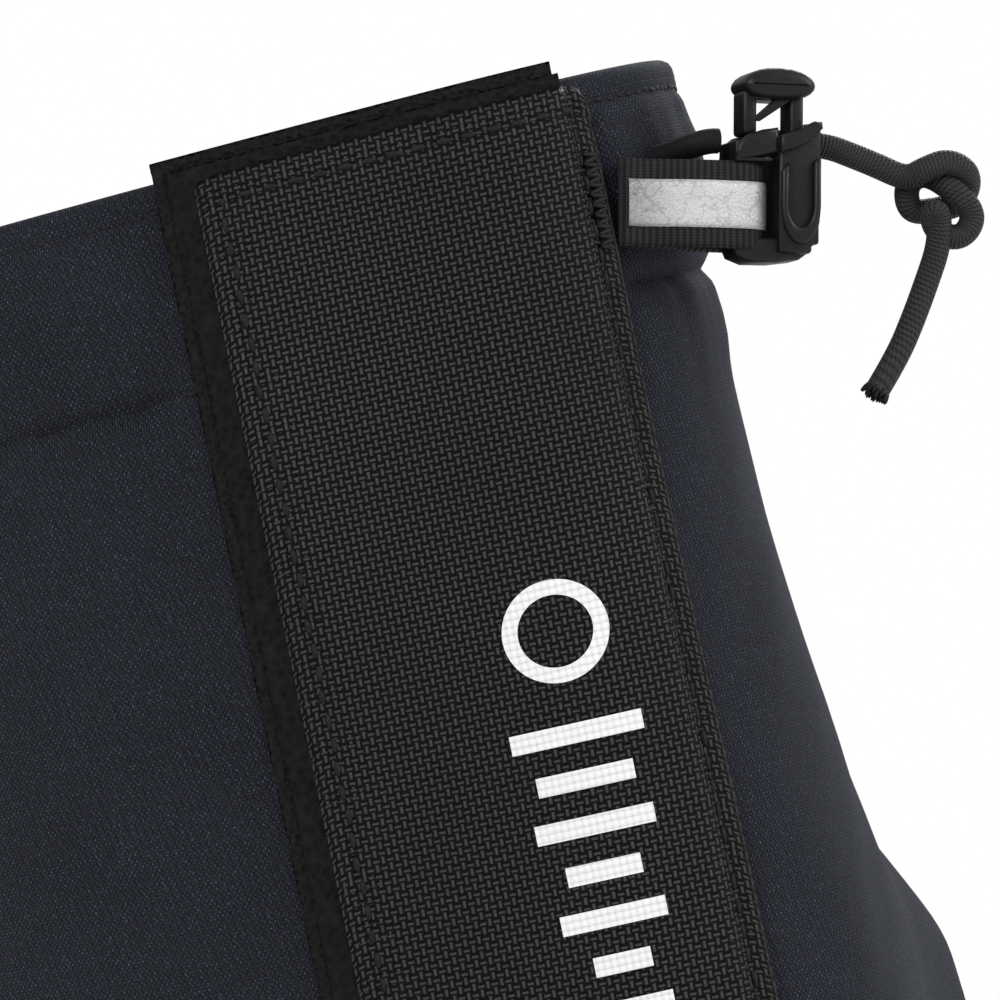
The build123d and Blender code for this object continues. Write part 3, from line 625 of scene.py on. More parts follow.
# ---- mesh helpers -------------------------------------------------------------------------------
def finish_mesh(bm: bmesh.types.BMesh, name: str, material: bpy.types.Material,
                smooth: bool = True) -> bpy.types.Object:
    """Turn a bmesh into a dressed object at the origin.

    Args:
        bm: the mesh, which is freed.
        name: the piece's name.
        material: its finish.
        smooth: whether its faces are shaded smooth.

    Returns:
        The object.
    """
    mesh = bpy.data.meshes.new(name)
    for face in bm.faces:
        face.smooth = smooth
    bm.to_mesh(mesh)
    bm.free()
    mesh.materials.append(material)
    piece = bpy.data.objects.new(name, mesh)
    bpy.context.scene.collection.objects.link(piece)
    return piece


def cloth_grid(s_values: Sequence[float], rows: Sequence[float],
               shape: Callable[[float, float], tuple[float, float, float]]) -> bmesh.types.BMesh:
    """A sheet on the leg's form, with a UV map in millimetres.

    Args:
        s_values: stations along the sheet.
        rows: row parameters up the sheet.
        shape: gives (arc length, height, offset) for a station and a row.

    Returns:
        The bmesh.
    """
    bm = bmesh.new()
    bmesh.ops.create_grid(bm, x_segments=len(s_values) - 1, y_segments=len(rows) - 1, size=1)
    bm.verts.ensure_lookup_table()
    uv = bm.loops.layers.uv.new("UVMap")
    order = sorted(bm.verts, key=lambda v: (round(v.co.y, 5), round(v.co.x, 5)))
    flat = {}
    for index, vert in enumerate(order):
        s, row = s_values[index % len(s_values)], rows[index // len(s_values)]
        flat[vert] = (s, row)
        vert.co = FORM.spot(*shape(s, row))
    for face in bm.faces:
        for loop in face.loops:
            loop[uv].uv = flat[loop.vert]
    return bm


def thicken(bm: bmesh.types.BMesh, wall: float) -> None:
    """Give a sheet its thickness behind its face.

    Args:
        bm: the sheet.
        wall: in millimetres.
    """
    bmesh.ops.solidify(bm, geom=bm.faces[:], thickness=wall * MM)
    bmesh.ops.recalc_face_normals(bm, faces=bm.faces[:])


def even(low: float, high: float, step: float) -> list[float]:
    """Evenly spaced values with both ends.

    Args:
        low: lower value.
        high: upper value.
        step: rough distance between values.

    Returns:
        The values.
    """
    return [float(v) for v in np.linspace(low, high, max(2, round(abs(high - low) / step) + 1))]


def stitches(name: str, frames: Sequence[Matrix], length: float, width: float,
             material: bpy.types.Material) -> bpy.types.Object:
    """A row of stitches, each a low rounded thread float.

    Args:
        name: the piece's name.
        frames: one matrix for each stitch, x along it and z outwards.
        length: of one float, in millimetres.
        width: of the thread, in millimetres.
        material: the thread's finish.

    Returns:
        The joined piece.
    """
    bm = bmesh.new()
    for frame in frames:
        size = Matrix.Diagonal((length * MM / 2, width * MM / 2, width * MM * 0.42, 1))
        bmesh.ops.create_uvsphere(bm, u_segments=8, v_segments=5, radius=1, matrix=frame @ size)
    return finish_mesh(bm, name, material)


def join(bm: bmesh.types.BMesh, part: bmesh.types.BMesh) -> None:
    """Add one mesh to another.

    Args:
        bm: the mesh that takes it.
        part: the mesh that is added, which is freed.
    """
    scratch = bpy.data.meshes.new("scratch")
    part.to_mesh(scratch)
    part.free()
    bm.from_mesh(scratch)
    bpy.data.meshes.remove(scratch)


def block(bm: bmesh.types.BMesh, frame: Matrix, low: Point, high: Point, radius: float,
          segments: int = 3) -> None:
    """Add a block with rounded edges.

    Args:
        bm: the mesh that takes it.
        frame: matrix of the block's axes.
        low: lowest corner, in millimetres.
        high: highest corner, in millimetres.
        radius: of its edges, in millimetres.
        segments: of its rounding.
    """
    centre = [(a + b) / 2 * MM for a, b in zip(low, high)]
    size = [(b - a) * MM for a, b in zip(low, high)]
    one = bmesh.new()
    bmesh.ops.create_cube(one, size=1, matrix=Matrix.Translation(centre) @ Matrix.Diagonal((*size, 1)))
    bmesh.ops.bevel(one, geom=one.edges[:] + one.verts[:], offset=radius * MM, affect="EDGES",
                    segments=segments, profile=0.5, material=-1)
    bmesh.ops.transform(one, matrix=frame, verts=one.verts[:])
    join(bm, one)


def ripple(x: float, seed: float) -> float:
    """Smooth uneven wave from -1 to 1, the same on each run."""
    return (math.sin(x + seed) + 0.6 * math.sin(1.73 * x + 2.1 * seed) + 0.4 * math.sin(2.9 * x - seed)) / 2


def near(value: float, centre: float, reach: float) -> float:
    """1 at the centre, easing to nothing beyond the reach."""
    return math.exp(-((value - centre) / reach) ** 2)


def step_up(value: float, low: float, high: float) -> float:
    """Ease from 0 at low to 1 at high.

    Args:
        value: what is eased.
        low: lower value.
        high: upper value.

    Returns:
        The share.
    """
    part = min(max((value - low) / (high - low), 0.0), 1.0)
    return part * part * (3 - 2 * part)


def crest(s: float, z: float) -> float:
    """How far the cloth near the top is lifted, because its hem slopes up to the outer side."""
    if z < FORM.height - 90.0:
        return 0.0
    x = FORM.base(s, FORM.height - 10.0)[0]
    return 0.05 * (x - 10.0) * step_up(z, FORM.height - 90.0, FORM.height - 10.0)


# ---- cloth panels -------------------------------------------------------------------------------
@dataclass
class Shell:
    """The upper and lower cloth panels, the drawcord casing, patches and bindings. Millimetres."""

    seam_z: float = 205.0
    calf_z: float = 330.0
    scuff_span: tuple[float, float] = (-136.0, -47.6)
    elastic_span: tuple[float, float] = (92.4, 250.8)
    wall: float = 0.8
    casing_depth: float = 25.0
    hem_stitch: float = 3.5
    fold_radius: float = 1.1
    right_start: float = 18.75
    underlap: float = 18.7
    lap: float = 0.1
    flap_edges: tuple[float, float] = (-28.5, 24.2)
    arch_height: float = 15.0
    arch_half: float = 30.0
    arch_ramp: float = 14.0
    finish: PlainWeave = PlainWeave()
    lower_finish: PlainWeave = PlainWeave("pack_cloth", 0.42, 0.50, 1.3, (0.006, 0.006, 0.007),
                                          (0.045, 0.045, 0.050), 0.18, 0.10)

    def relief(self, s: float, z: float) -> float:
        """Puff, gathers and creases of the worn cloth.

        Args:
            s: station round the leg, in millimetres.
            z: height in millimetres.

        Returns:
            Offset outwards.
        """
        depth = FORM.height - z
        total = FORM.around(min(max(z, 0.0), FORM.height))
        s = (s + total / 2) % total - total / 2
        sway = 1 - step_up(abs(s), total / 2 - 34, total / 2 - 8)
        out = 0.0
        if depth < self.casing_depth:
            swell = math.sin(math.pi * max(depth, 0.0) / self.casing_depth)
            out += 0.9 * swell ** 0.8 + 0.75 * near(depth, 11.0, 3.6)
            out += 0.34 * ripple(s * 0.52, 1.0) * swell * sway
        out -= 1.35 * near(depth, self.casing_depth, 1.5)
        out -= 0.55 * near(depth, self.hem_stitch, 0.9)
        out += 0.16 * ripple(s * 2.3, 0.3) * near(depth, self.hem_stitch, 2.4) * sway
        if depth > self.casing_depth:
            fade = math.exp(-(depth - self.casing_depth) / 8.0)
            out += 0.42 * ripple(s * 0.62, 2.0) * fade * sway
            out += 0.5 * near(depth, self.casing_depth + 7, 3.5)
            broad = 0.55 * ripple(s * 0.07 + z * 0.04, 0.4) + 0.22 * ripple(s * 0.16 - z * 0.11, 1.4)
            out += broad * step_up(depth, 30, 60) * step_up(z, 55, 100) * sway
        out += 1.5 * math.sin(z * 0.31 + ripple(s * 0.045, 1.0) * 1.6 * sway) * near(z, 112.0, 30.0)
        out += 8.0 * near(s, 96.0, 17.0) * step_up(348.0 - z, 0, 26) * step_up(z, 215, 300)
        left, right = self.flap_edges
        clear = step_up(left - s, -0.5, 5.0) + step_up(s - right, -0.5, 3.0)
        return out * min(clear, 1.0)

    def rows(self) -> list[float]:
        """Heights of the upper panels' rows, finer near the top hem."""
        top = FORM.height - self.fold_radius
        low = even(self.seam_z - 1.5, self.seam_z + 12, 1.5) + even(220, 300, 4.0)
        return low + even(301.6, 404, 1.7) + even(404.8, top, 0.8)

    def upper(self, name: str, start: float, end: float, material: bpy.types.Material) -> bpy.types.Object:
        """An upper panel with its hem rolled in.

        Args:
            name: the name it gets.
            start: first station.
            end: last station.
            material: its finish.

        Returns:
            The piece.
        """
        turns = [FORM.height + 90.0 * step for step in (1, 2, 3, 4, 5)]
        body = self.rows()

        def shape(s: float, row: float) -> Point:
            """Place of a station on a row; rows past the height are degrees round the hem."""
            if row <= FORM.height:
                stretch = FORM.around(row) / FORM.around(self.calf_z) - 1
                station = s * (1 + stretch * step_up(abs(s), 120.0, 185.0) * step_up(400.0 - row, 0, 60))
                lap = 0.95 * (1 - step_up(row, self.seam_z + 4, self.seam_z + 9))
                return station, row + crest(station, row), self.relief(station, row) + lap
            angle = math.radians((row - FORM.height) * 0.4)
            z = FORM.height - self.fold_radius * (1 - math.sin(angle))
            return s, z + crest(s, z), self.relief(s, z) - self.fold_radius * (1 - math.cos(angle))

        bm = cloth_grid(even(start, end, 1.5), body + turns, shape)
        uv = bm.loops.layers.uv.active
        for face in bm.faces:
            for loop in face.loops:
                if loop[uv].uv.y > FORM.height:
                    loop[uv].uv.y = FORM.height + (loop[uv].uv.y - FORM.height) * 0.008
        thicken(bm, self.wall)
        return finish_mesh(bm, name, material)

    def arch(self, y: float) -> float:
        """Lowest cloth height at a distance in front of or behind the strap."""
        return self.arch_height * (1 - step_up(abs(y), self.arch_half, self.arch_half + self.arch_ramp))

    def hem_height(self, s: float, z: float) -> float:
        """A row's height once the hem rises over the strap.

        Args:
            s: station round the leg, in millimetres.
            z: height in millimetres.

        Returns:
            The height.
        """
        side = FORM.spot(s, 0.0)
        if abs(side.x) < 40 * MM:
            return z
        return z + self.arch(side.y / MM) * (1 - step_up(z, 0.0, 55.0))

    def lower(self, name: str, start: float, end: float, material: bpy.types.Material) -> bpy.types.Object:
        """A lower panel.

        Args:
            name: the name it gets.
            start: first station.
            end: last station.
            material: its finish.

        Returns:
            The piece.
        """
        def shape(s: float, row: float) -> Point:
            """Place of a station on a row."""
            z = self.hem_height(s, row)
            stretch = FORM.around(z) / FORM.around(self.seam_z) - 1
            station = s * (1 + stretch * step_up(abs(s), 25.0, 110.0))
            return station, z, self.relief(s, z) - 0.25 * near(row, 5.0, 1.2)

        bm = cloth_grid(even(start, end, 2.2), even(0.0, self.seam_z, 2.2), shape)
        thicken(bm, self.wall)
        return finish_mesh(bm, name, material)

    def band(self, name: str, span: tuple[float, float], zs: tuple[float, float], offset: float,
             wall: float, material: bpy.types.Material, wave: float = 0.0, hem: bool = False,
             step: float = 2.0) -> bpy.types.Object:
        """A tape, patch or facing on the panels.

        Args:
            name: the piece's name.
            span: its first and last station.
            zs: its lowest and highest row.
            offset: of its outer face from the panels'.
            wall: its thickness.
            material: its finish.
            wave: height of small gathers along it.
            hem: whether its rows follow the rise of the hem over the strap.
            step: between stations.

        Returns:
            The piece.
        """
        low, high = zs

        def shape(s: float, row: float) -> Point:
            """Place of a station on a row."""
            z = self.hem_height(s, row) if hem else row
            edge = min(row - low, high - row)
            crown = -0.35 * wall * near(edge, 0.0, 0.8)
            ride = self.relief(s, z) if offset > -2.5 else 0.0
            return s, z + crest(s, z), offset + crown + ride + wave * ripple(s * 0.5, z * 0.02)

        bm = cloth_grid(even(*span, step), even(low, high, max((high - low) / 40, 0.8)), shape)
        thicken(bm, wall)
        return finish_mesh(bm, name, material)

    def seam_frames(self, span: tuple[float, float], depth: float, pitch: float,
                    inside: float = -0.10) -> list[Matrix]:
        """Stitches along the top hem.

        Args:
            span: first and last station.
            depth: distance below the top.
            pitch: distance between stitches.
            inside: how far they sink in.

        Returns:
            Their frames.
        """
        frames = []
        for index, s in enumerate(even(*span, pitch)):
            z = FORM.height - depth
            frame = FORM.frame(s, z, self.relief(s, z) - inside)
            frame.translation.z += (crest(s, z) + 0.10 * math.sin(index * 2.4)) * MM
            frames.append(frame @ Matrix.Rotation(0.10 * math.sin(index * 1.7), 4, "Z"))
        return frames

    def build(self) -> list[bpy.types.Object]:
        """Build every panel and its seams. Returns: the pieces."""
        thread = Thread().material()
        lining = RibbedWeb("lining_tape", 0.6, Weave.AROUND).material()
        cloth = self.finish.material()
        lower_cloth = self.lower_finish.material()
        half = FORM.around(self.calf_z) / 2
        pieces = []
        for side, start, end, node in (("outer", self.right_start, half + self.lap, "upper_outer_panel"),
                                       ("inner", -(half + self.lap), self.underlap, "upper_inner_panel")):
            panel = self.upper(f"{side}_softshell_panel", start, end, cloth)
            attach(panel, "gaiter")
            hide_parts(node)
            pieces.append(panel)
        around_low = FORM.around(self.seam_z) / 2
        half_low = around_low + self.lap
        for side, start, end, node in (("outer", self.right_start, half_low, "lower_outer_panel"),
                                       ("inner", -half_low, self.underlap, "lower_inner_panel")):
            panel = self.lower(f"{side}_lower_panel", start, end, lower_cloth)
            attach(panel, "gaiter")
            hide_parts(node)
            pieces.append(panel)
        top = FORM.height
        facing_span = (self.right_start + 1, FORM.around(top) + self.underlap - 2)
        facing = self.band("casing_facing_cloth", facing_span, (top - self.casing_depth + 1, top - 1.3), -4.9,
                           0.7, cloth, 0.35)
        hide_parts("casing_facing")
        pieces.append(facing)
        tape = self.band("waist_seam_tape", (21.0, FORM.around(self.seam_z) + 16), (197, 213), -1.5, 0.5,
                         lining)
        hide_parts("waist_tape")
        scuff = self.band("scuff_guard", self.scuff_span, (62, 190), 1.2, 0.8,
                          BallisticNylon().material())
        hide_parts("scuff_patch")
        elastic = self.band("ankle_elastic_band", self.elastic_span, (100, 120), -1.4, 1.0,
                            RibbedWeb("ribbed_elastic", 1.4, Weave.AROUND).material(), 0.3)
        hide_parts("ankle_elastic")
        binding = self.band("hem_tape", (25.0, FORM.around(0.0) - 31), (0.0, 8.5), 0.7, 0.6, lining,
                            hem=True)
        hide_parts("hem_binding")
        pieces += [tape, scuff, elastic, binding]
        outer_span = (self.flap_edges[1] + 0.6, half - 1)
        inner_span = (-(half - 1), self.flap_edges[0] - 0.6)
        for index, span in enumerate((outer_span, inner_span)):
            for label, depth, pitch in (("hem", self.hem_stitch, 2.0), ("casing", self.casing_depth, 2.7)):
                row = stitches(f"{label}_stitches_{index}", self.seam_frames(span, depth, pitch),
                               pitch * 0.74, 0.62, thread)
                pieces.append(row)
            frames = self.seam_frames(span, FORM.height - self.seam_z - 2.0, 2.9, -1.05)
            waist = stitches(f"waist_stitches_{index}", frames, 2.0, 0.55, thread)
            pieces.append(waist)
        for piece in pieces:
            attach(piece, "gaiter")
        return pieces


@dataclass
class Closure:
    """The front flap, the tapes under it, their stitching and the mark printed on it. Millimetres."""

    left: float = -23.8
    right: float = 23.8
    bottom: float = 12.0
    top_drop: float = 1.0
    face: float = 3.7
    sewn_face: float = 2.1
    hinge: float = 20.35
    middle_z: float = 230.0
    hook_left: float = -28.3
    loop_left: float = -26.8
    tape_right: float = 19.8
    hook_rise: float = 3.2
    loop_rise: float = 1.6
    stitch_pitch: float = 2.85
    mark_s: float = 6.2
    ring_z: float = 372.6
    ring_radius: float = 6.0
    ring_hole: float = 0.70
    first_bar: float = 12.0
    bar_pitch: float = 5.4
    bar_half: float = 1.15
    bar_widths: tuple = (15.0, 11.0, 13.5, 8.5, 12.0, 6.5, 9.5)

    def top(self) -> float:
        """Height of the flap's top edge."""
        return FORM.height - self.top_drop

    def flap_offset(self, s: float, z: float) -> float:
        """Outer face of the flap.

        Args:
            s: station round the leg, in millimetres.
            z: height in millimetres.

        Returns:
            Offset from the shell.
        """
        base = self.sewn_face + (self.face - self.sewn_face) * (1 - step_up(s, 18.6, 21.6))
        edge_left, edge_right, edge_top = s - self.left, self.right - s, self.top() - z
        out = base - 0.38 * near(edge_left, 2.8, 0.75) - 0.40 * near(edge_right, 2.9, 0.8)
        out -= 0.30 * near(edge_top, 3.0, 0.8)
        out += 0.16 * ripple(z * 1.15, 0.7) * (near(edge_left, 2.8, 2.6) + near(edge_right, 2.9, 2.6))
        out += 0.14 * ripple(s * 1.15, 1.9) * near(edge_top, 3.0, 2.4)
        for edge in (edge_left, edge_right, edge_top):
            out -= 0.42 * near(edge, 0.0, 0.55)
        out += 0.28 * ripple(z * 0.055 + s * 0.05, 0.9) * step_up(edge_top, 8, 40)
        return out

    def flap_top(self, s: float) -> float:
        """Height of the flap's rounded top edge at a station."""
        corner = 3.0
        drop = 0.0
        for edge in (s - self.left, self.right - s):
            if edge < corner:
                drop = corner - math.sqrt(max(corner ** 2 - (corner - edge) ** 2, 0.0))
        return self.top() - drop * (1.0 if s > 0 else 0.35)

    def flap(self, material: bpy.types.Material) -> bpy.types.Object:
        """The flap, bent across its sewn edge.

        Args:
            material: its finish.

        Returns:
            The piece.
        """
        def shape(s: float, row: float) -> Point:
            """Place of a station on a row."""
            top = self.flap_top(s)
            z = self.bottom + (row - self.bottom) * (top - self.bottom) / (self.top() - self.bottom)
            return s, z + crest(s, z), self.flap_offset(s, row)

        rows = even(self.bottom, 300, 3.0) + even(301.4, self.top(), 1.0)
        fine = even(self.left, self.left + 5, 0.6) + even(self.left + 6, self.right - 6, 1.2)
        fine += even(self.right - 5, self.right, 0.5)
        bm = cloth_grid(fine, rows, shape)
        thicken(bm, 0.75)
        return finish_mesh(bm, "front_flap", material)

    def tape(self, name: str, left: float, rise: float, face: float, wall: float,
             material: bpy.types.Material) -> bpy.types.Object:
        """A fastener tape under the flap, with a ribbed selvedge.

        Args:
            name: the piece's name.
            left: its free edge.
            rise: of its top above the flap's.
            face: offset of its outer face.
            wall: its thickness.
            material: its finish.

        Returns:
            The piece.
        """
        top = self.top() + rise

        def shape(s: float, row: float) -> Point:
            """Place of a station on a row."""
            edge = s - left
            nick = 0.16 * math.sin(row * 2 * math.pi / 1.3) * near(edge, 0.0, 0.6)
            crown = -0.4 * near(edge, 0.0, 0.5) + 0.05 * ripple(row * 0.8, left)
            return s - nick, row + crest(s, row), face + crown

        rows = even(42.0, 300, 6.0) + even(301.5, top, 0.6)
        bm = cloth_grid(even(left, left + 3, 0.5) + even(left + 5, self.tape_right, 3.0), rows, shape)
        thicken(bm, wall)
        return finish_mesh(bm, name, material)

    def flap_frames(self) -> list[Matrix]:
        """Stitch frames down both edges and along the top of the flap."""
        frames = []
        turn = Matrix.Rotation(math.pi / 2, 4, "Z")
        for s in (self.left + 2.8, self.right - 2.9):
            for index, z in enumerate(even(self.bottom + 3, self.top() - 3.2, self.stitch_pitch)):
                frame = FORM.frame(s + 0.12 * math.sin(index * 1.9), z, self.flap_offset(s, z) + 0.08)
                frame.translation.z += crest(s, z) * MM
                frames.append(frame @ turn)
        z = self.top() - 3.0
        for index, s in enumerate(even(self.left + 2.8, self.right - 4.2, self.stitch_pitch)):
            frame = FORM.frame(s, z, self.flap_offset(s, z) + 0.08)
            frame.translation.z += crest(s, z) * MM
            frames.append(frame)
        return frames

    def mark(self, material: bpy.types.Material) -> bpy.types.Object:
        """A generic print: a plain ring over a column of bars.

        Args:
            material: its finish.

        Returns:
            The piece.
        """
        bm = bmesh.new()
        bmesh.ops.create_circle(bm, cap_ends=False, segments=64, radius=self.ring_radius)
        made = bmesh.ops.extrude_edge_only(bm, edges=bm.edges[:])
        rim = [v for v in made["geom"] if isinstance(v, bmesh.types.BMVert)]
        bmesh.ops.scale(bm, vec=(self.ring_hole, self.ring_hole, 1), verts=rim)
        bmesh.ops.translate(bm, vec=(self.mark_s, self.ring_z, 0), verts=bm.verts[:])
        for index, width in enumerate(self.bar_widths):
            bar = bmesh.ops.create_grid(bm, x_segments=16, y_segments=2, size=1)
            z = self.ring_z - self.first_bar - index * self.bar_pitch
            scale = Matrix.Diagonal((width / 2, self.bar_half, 1, 1))
            matrix = Matrix.Translation((self.mark_s, z, 0)) @ scale
            bmesh.ops.transform(bm, matrix=matrix, verts=bar["verts"])
        uv = bm.loops.layers.uv.new("UVMap")
        for face in bm.faces:
            for loop in face.loops:
                loop[uv].uv = loop.vert.co.xy
        for vert in bm.verts:
            s, z = vert.co.x, vert.co.y
            vert.co = FORM.spot(s, z + crest(s, z), self.flap_offset(s, z) + 0.10)
        bmesh.ops.recalc_face_normals(bm, faces=bm.faces[:])
        for face in bm.faces:
            if face.normal.y > 0:
                face.normal_flip()
        return finish_mesh(bm, "printed_mark", material)

    def build(self) -> list[bpy.types.Object]:
        """Build the closure. Returns: the pieces."""
        nylon = BallisticNylon().material()
        thread = Thread().material()
        flap = self.flap(nylon)
        low = FORM.spot(self.hinge, self.bottom, self.face)
        across = FORM.spot(self.hinge + 1, self.middle_z) - FORM.spot(self.hinge - 1, self.middle_z)
        across.normalize()
        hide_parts("flap_panel", "flap_seam_strip")
        loop = self.tape("loop_tape_strip", self.loop_left, self.loop_rise, 2.8, 0.9,
                         Pile("loop_pile_black").material())
        hook = self.tape("hook_tape_strip", self.hook_left, self.hook_rise, 1.5, 1.1,
                         Pile("hook_pile_black", 1300.0, (0.022, 0.022, 0.023)).material())
        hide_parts("loop_tape")
        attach(loop, "flap")
        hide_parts("hook_tape")
        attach(hook, "gaiter")
        rows = stitches("flap_stitches", self.flap_frames(), 2.1, 0.85, thread)
        print_piece = self.mark(Ink().material())
        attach(print_piece, "flap")
        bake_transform(flap)
        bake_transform(rows)
        return [flap, loop, hook, rows, print_piece]


# ---- the tab, the cord lock and the drawcord ----------------------------------------------------
@dataclass(frozen=True)
class SideFrames:
    """Axes of the webbing tab and of the cord lock: x along the tab, y up it, z outwards. Metres."""

    along: Point = (0.9531, 0.2026, -0.225)
    up: Point = (0.22, 0.0468, 0.9744)
    out: Point = (0.2079, -0.9781, 0.0)
    tab_origin: Point = (0.02939, -0.04787, 0.4200)
    lock_origin: Point = (0.04058, -0.04549, 0.41089)

    def at(self, origin: Point) -> Matrix:
        """Matrix of the axes at an origin."""
        matrix = Matrix((self.along, self.up, self.out)).transposed().to_4x4()
        matrix.translation = Vector(origin)
        return matrix

    def tab(self) -> Matrix:
        """Axes of the tab."""
        return self.at(self.tab_origin)

    def lock(self) -> Matrix:
        """Axes of the lock, from its lower left corner at mid depth."""
        return self.at(self.lock_origin)


@dataclass
class Tab:
    """Grosgrain loop round the lock's bar, its reflective strip and the bartack. Millimetres."""

    half_width: float = 5.2
    wall: float = 1.0
    bar_half: float = 1.9
    reach: float = 10.7
    bar_end: float = 16.6
    strip_half: float = 2.8
    bartack_s: float = 22.1
    bartack_run: tuple[float, float] = (414.4, 425.4)
    frames: SideFrames = field(default_factory=SideFrames)

    def path(self, offset: float) -> list[tuple[float, float]]:
        """Side view of the loop at an offset from its middle.

        Args:
            offset: distance outwards, in millimetres.

        Returns:
            Points.
        """
        points = []
        for x in even(-0.4, self.reach, 1.1):
            lift = self.bar_half * step_up(x, 1.0, self.reach)
            points.append((x, lift + offset + 0.12 * ripple(x * 1.1, 0.5)))
        for angle in even(90, -90, 22.5):
            turn = math.radians(angle)
            grow = self.bar_half + offset
            points.append((self.bar_end - self.bar_half + grow * math.cos(turn), grow * math.sin(turn)))
        for x in even(self.reach, 0.4, 1.6):
            points.append((x, -self.bar_half * step_up(x, 1.0, self.reach) - offset))
        return points

    def strip(self, name: str, points: Sequence[tuple[float, float]], half: float, wall: float,
              material: bpy.types.Material, wrinkle: float) -> bpy.types.Object:
        """A band of webbing on a side view.

        Args:
            name: the piece's name.
            points: its outer line, in the tab's frame.
            half: half its width.
            wall: its thickness, inwards.
            material: its finish.
            wrinkle: height of wrinkles across it.

        Returns:
            The piece.
        """
        bm = bmesh.new()
        across = even(-half, half, 0.65)
        bmesh.ops.create_grid(bm, x_segments=len(points) - 1, y_segments=len(across) - 1, size=1)
        uv = bm.loops.layers.uv.new("UVMap")
        order = sorted(bm.verts, key=lambda v: (round(v.co.y, 5), round(v.co.x, 5)))
        run = [0.0]
        for a, b in zip(points, points[1:]):
            run.append(run[-1] + math.dist(a, b))
        matrix = self.frames.tab()
        flat = {}
        for index, vert in enumerate(order):
            column, y = index % len(points), across[index // len(points)]
            x, w = points[column]
            edge = half - abs(y)
            rise = wrinkle * ripple(x * 1.4 + y * 0.25, 0.4) - 0.18 * near(edge, 0.0, 0.4)
            w += rise * (1 if w > 0 else -1)
            flat[vert] = (run[column], y)
            vert.co = matrix @ (Vector((x, y, w)) * MM)
        for face in bm.faces:
            for loop in face.loops:
                loop[uv].uv = flat[loop.vert]
        bmesh.ops.recalc_face_normals(bm, faces=bm.faces[:])
        outer = sorted(bm.faces, key=lambda f: f.calc_center_median().x)[-1]
        if outer.normal.x < 0:
            bmesh.ops.reverse_faces(bm, faces=bm.faces[:])
        thicken(bm, wall)
        return finish_mesh(bm, name, material)

    def bartack(self, material: bpy.types.Material) -> bpy.types.Object:
        """Dense stitching at the tab's root, on the flap's sewn edge. Returns: the piece."""
        frames = []
        for index, z in enumerate(even(*self.bartack_run, 0.62)):
            frame = FORM.frame(self.bartack_s, z, 2.25)
            frame.translation.z += crest(self.bartack_s, z) * MM
            frames.append(frame @ Matrix.Rotation(0.22 if index % 2 else -0.22, 4, "Z"))
        return stitches("tab_bartack_thread", frames, 2.5, 0.62, material)

    def build(self) -> list[bpy.types.Object]:
        """Build the tab. Returns: the pieces."""
        loop = self.strip("tab_webbing", self.path(self.wall), self.half_width, self.wall,
                          RibbedWeb().material(), 0.05)
        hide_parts("webbing_tab")
        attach(loop, "tab")
        face = [(x, w) for x, w in self.path(self.wall + 0.30)[:-4] if w > -0.6 and x > 0.2]
        silver = Reflective().material()
        strip = self.strip("reflective_tape_strip", face, self.strip_half, 0.25, silver, 0.10)
        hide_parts("reflective_strip")
        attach(strip, "tab")
        bartack = self.bartack(Thread().material())
        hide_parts("tab_bartack")
        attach(bartack, "gaiter")
        return [loop, strip, bartack]


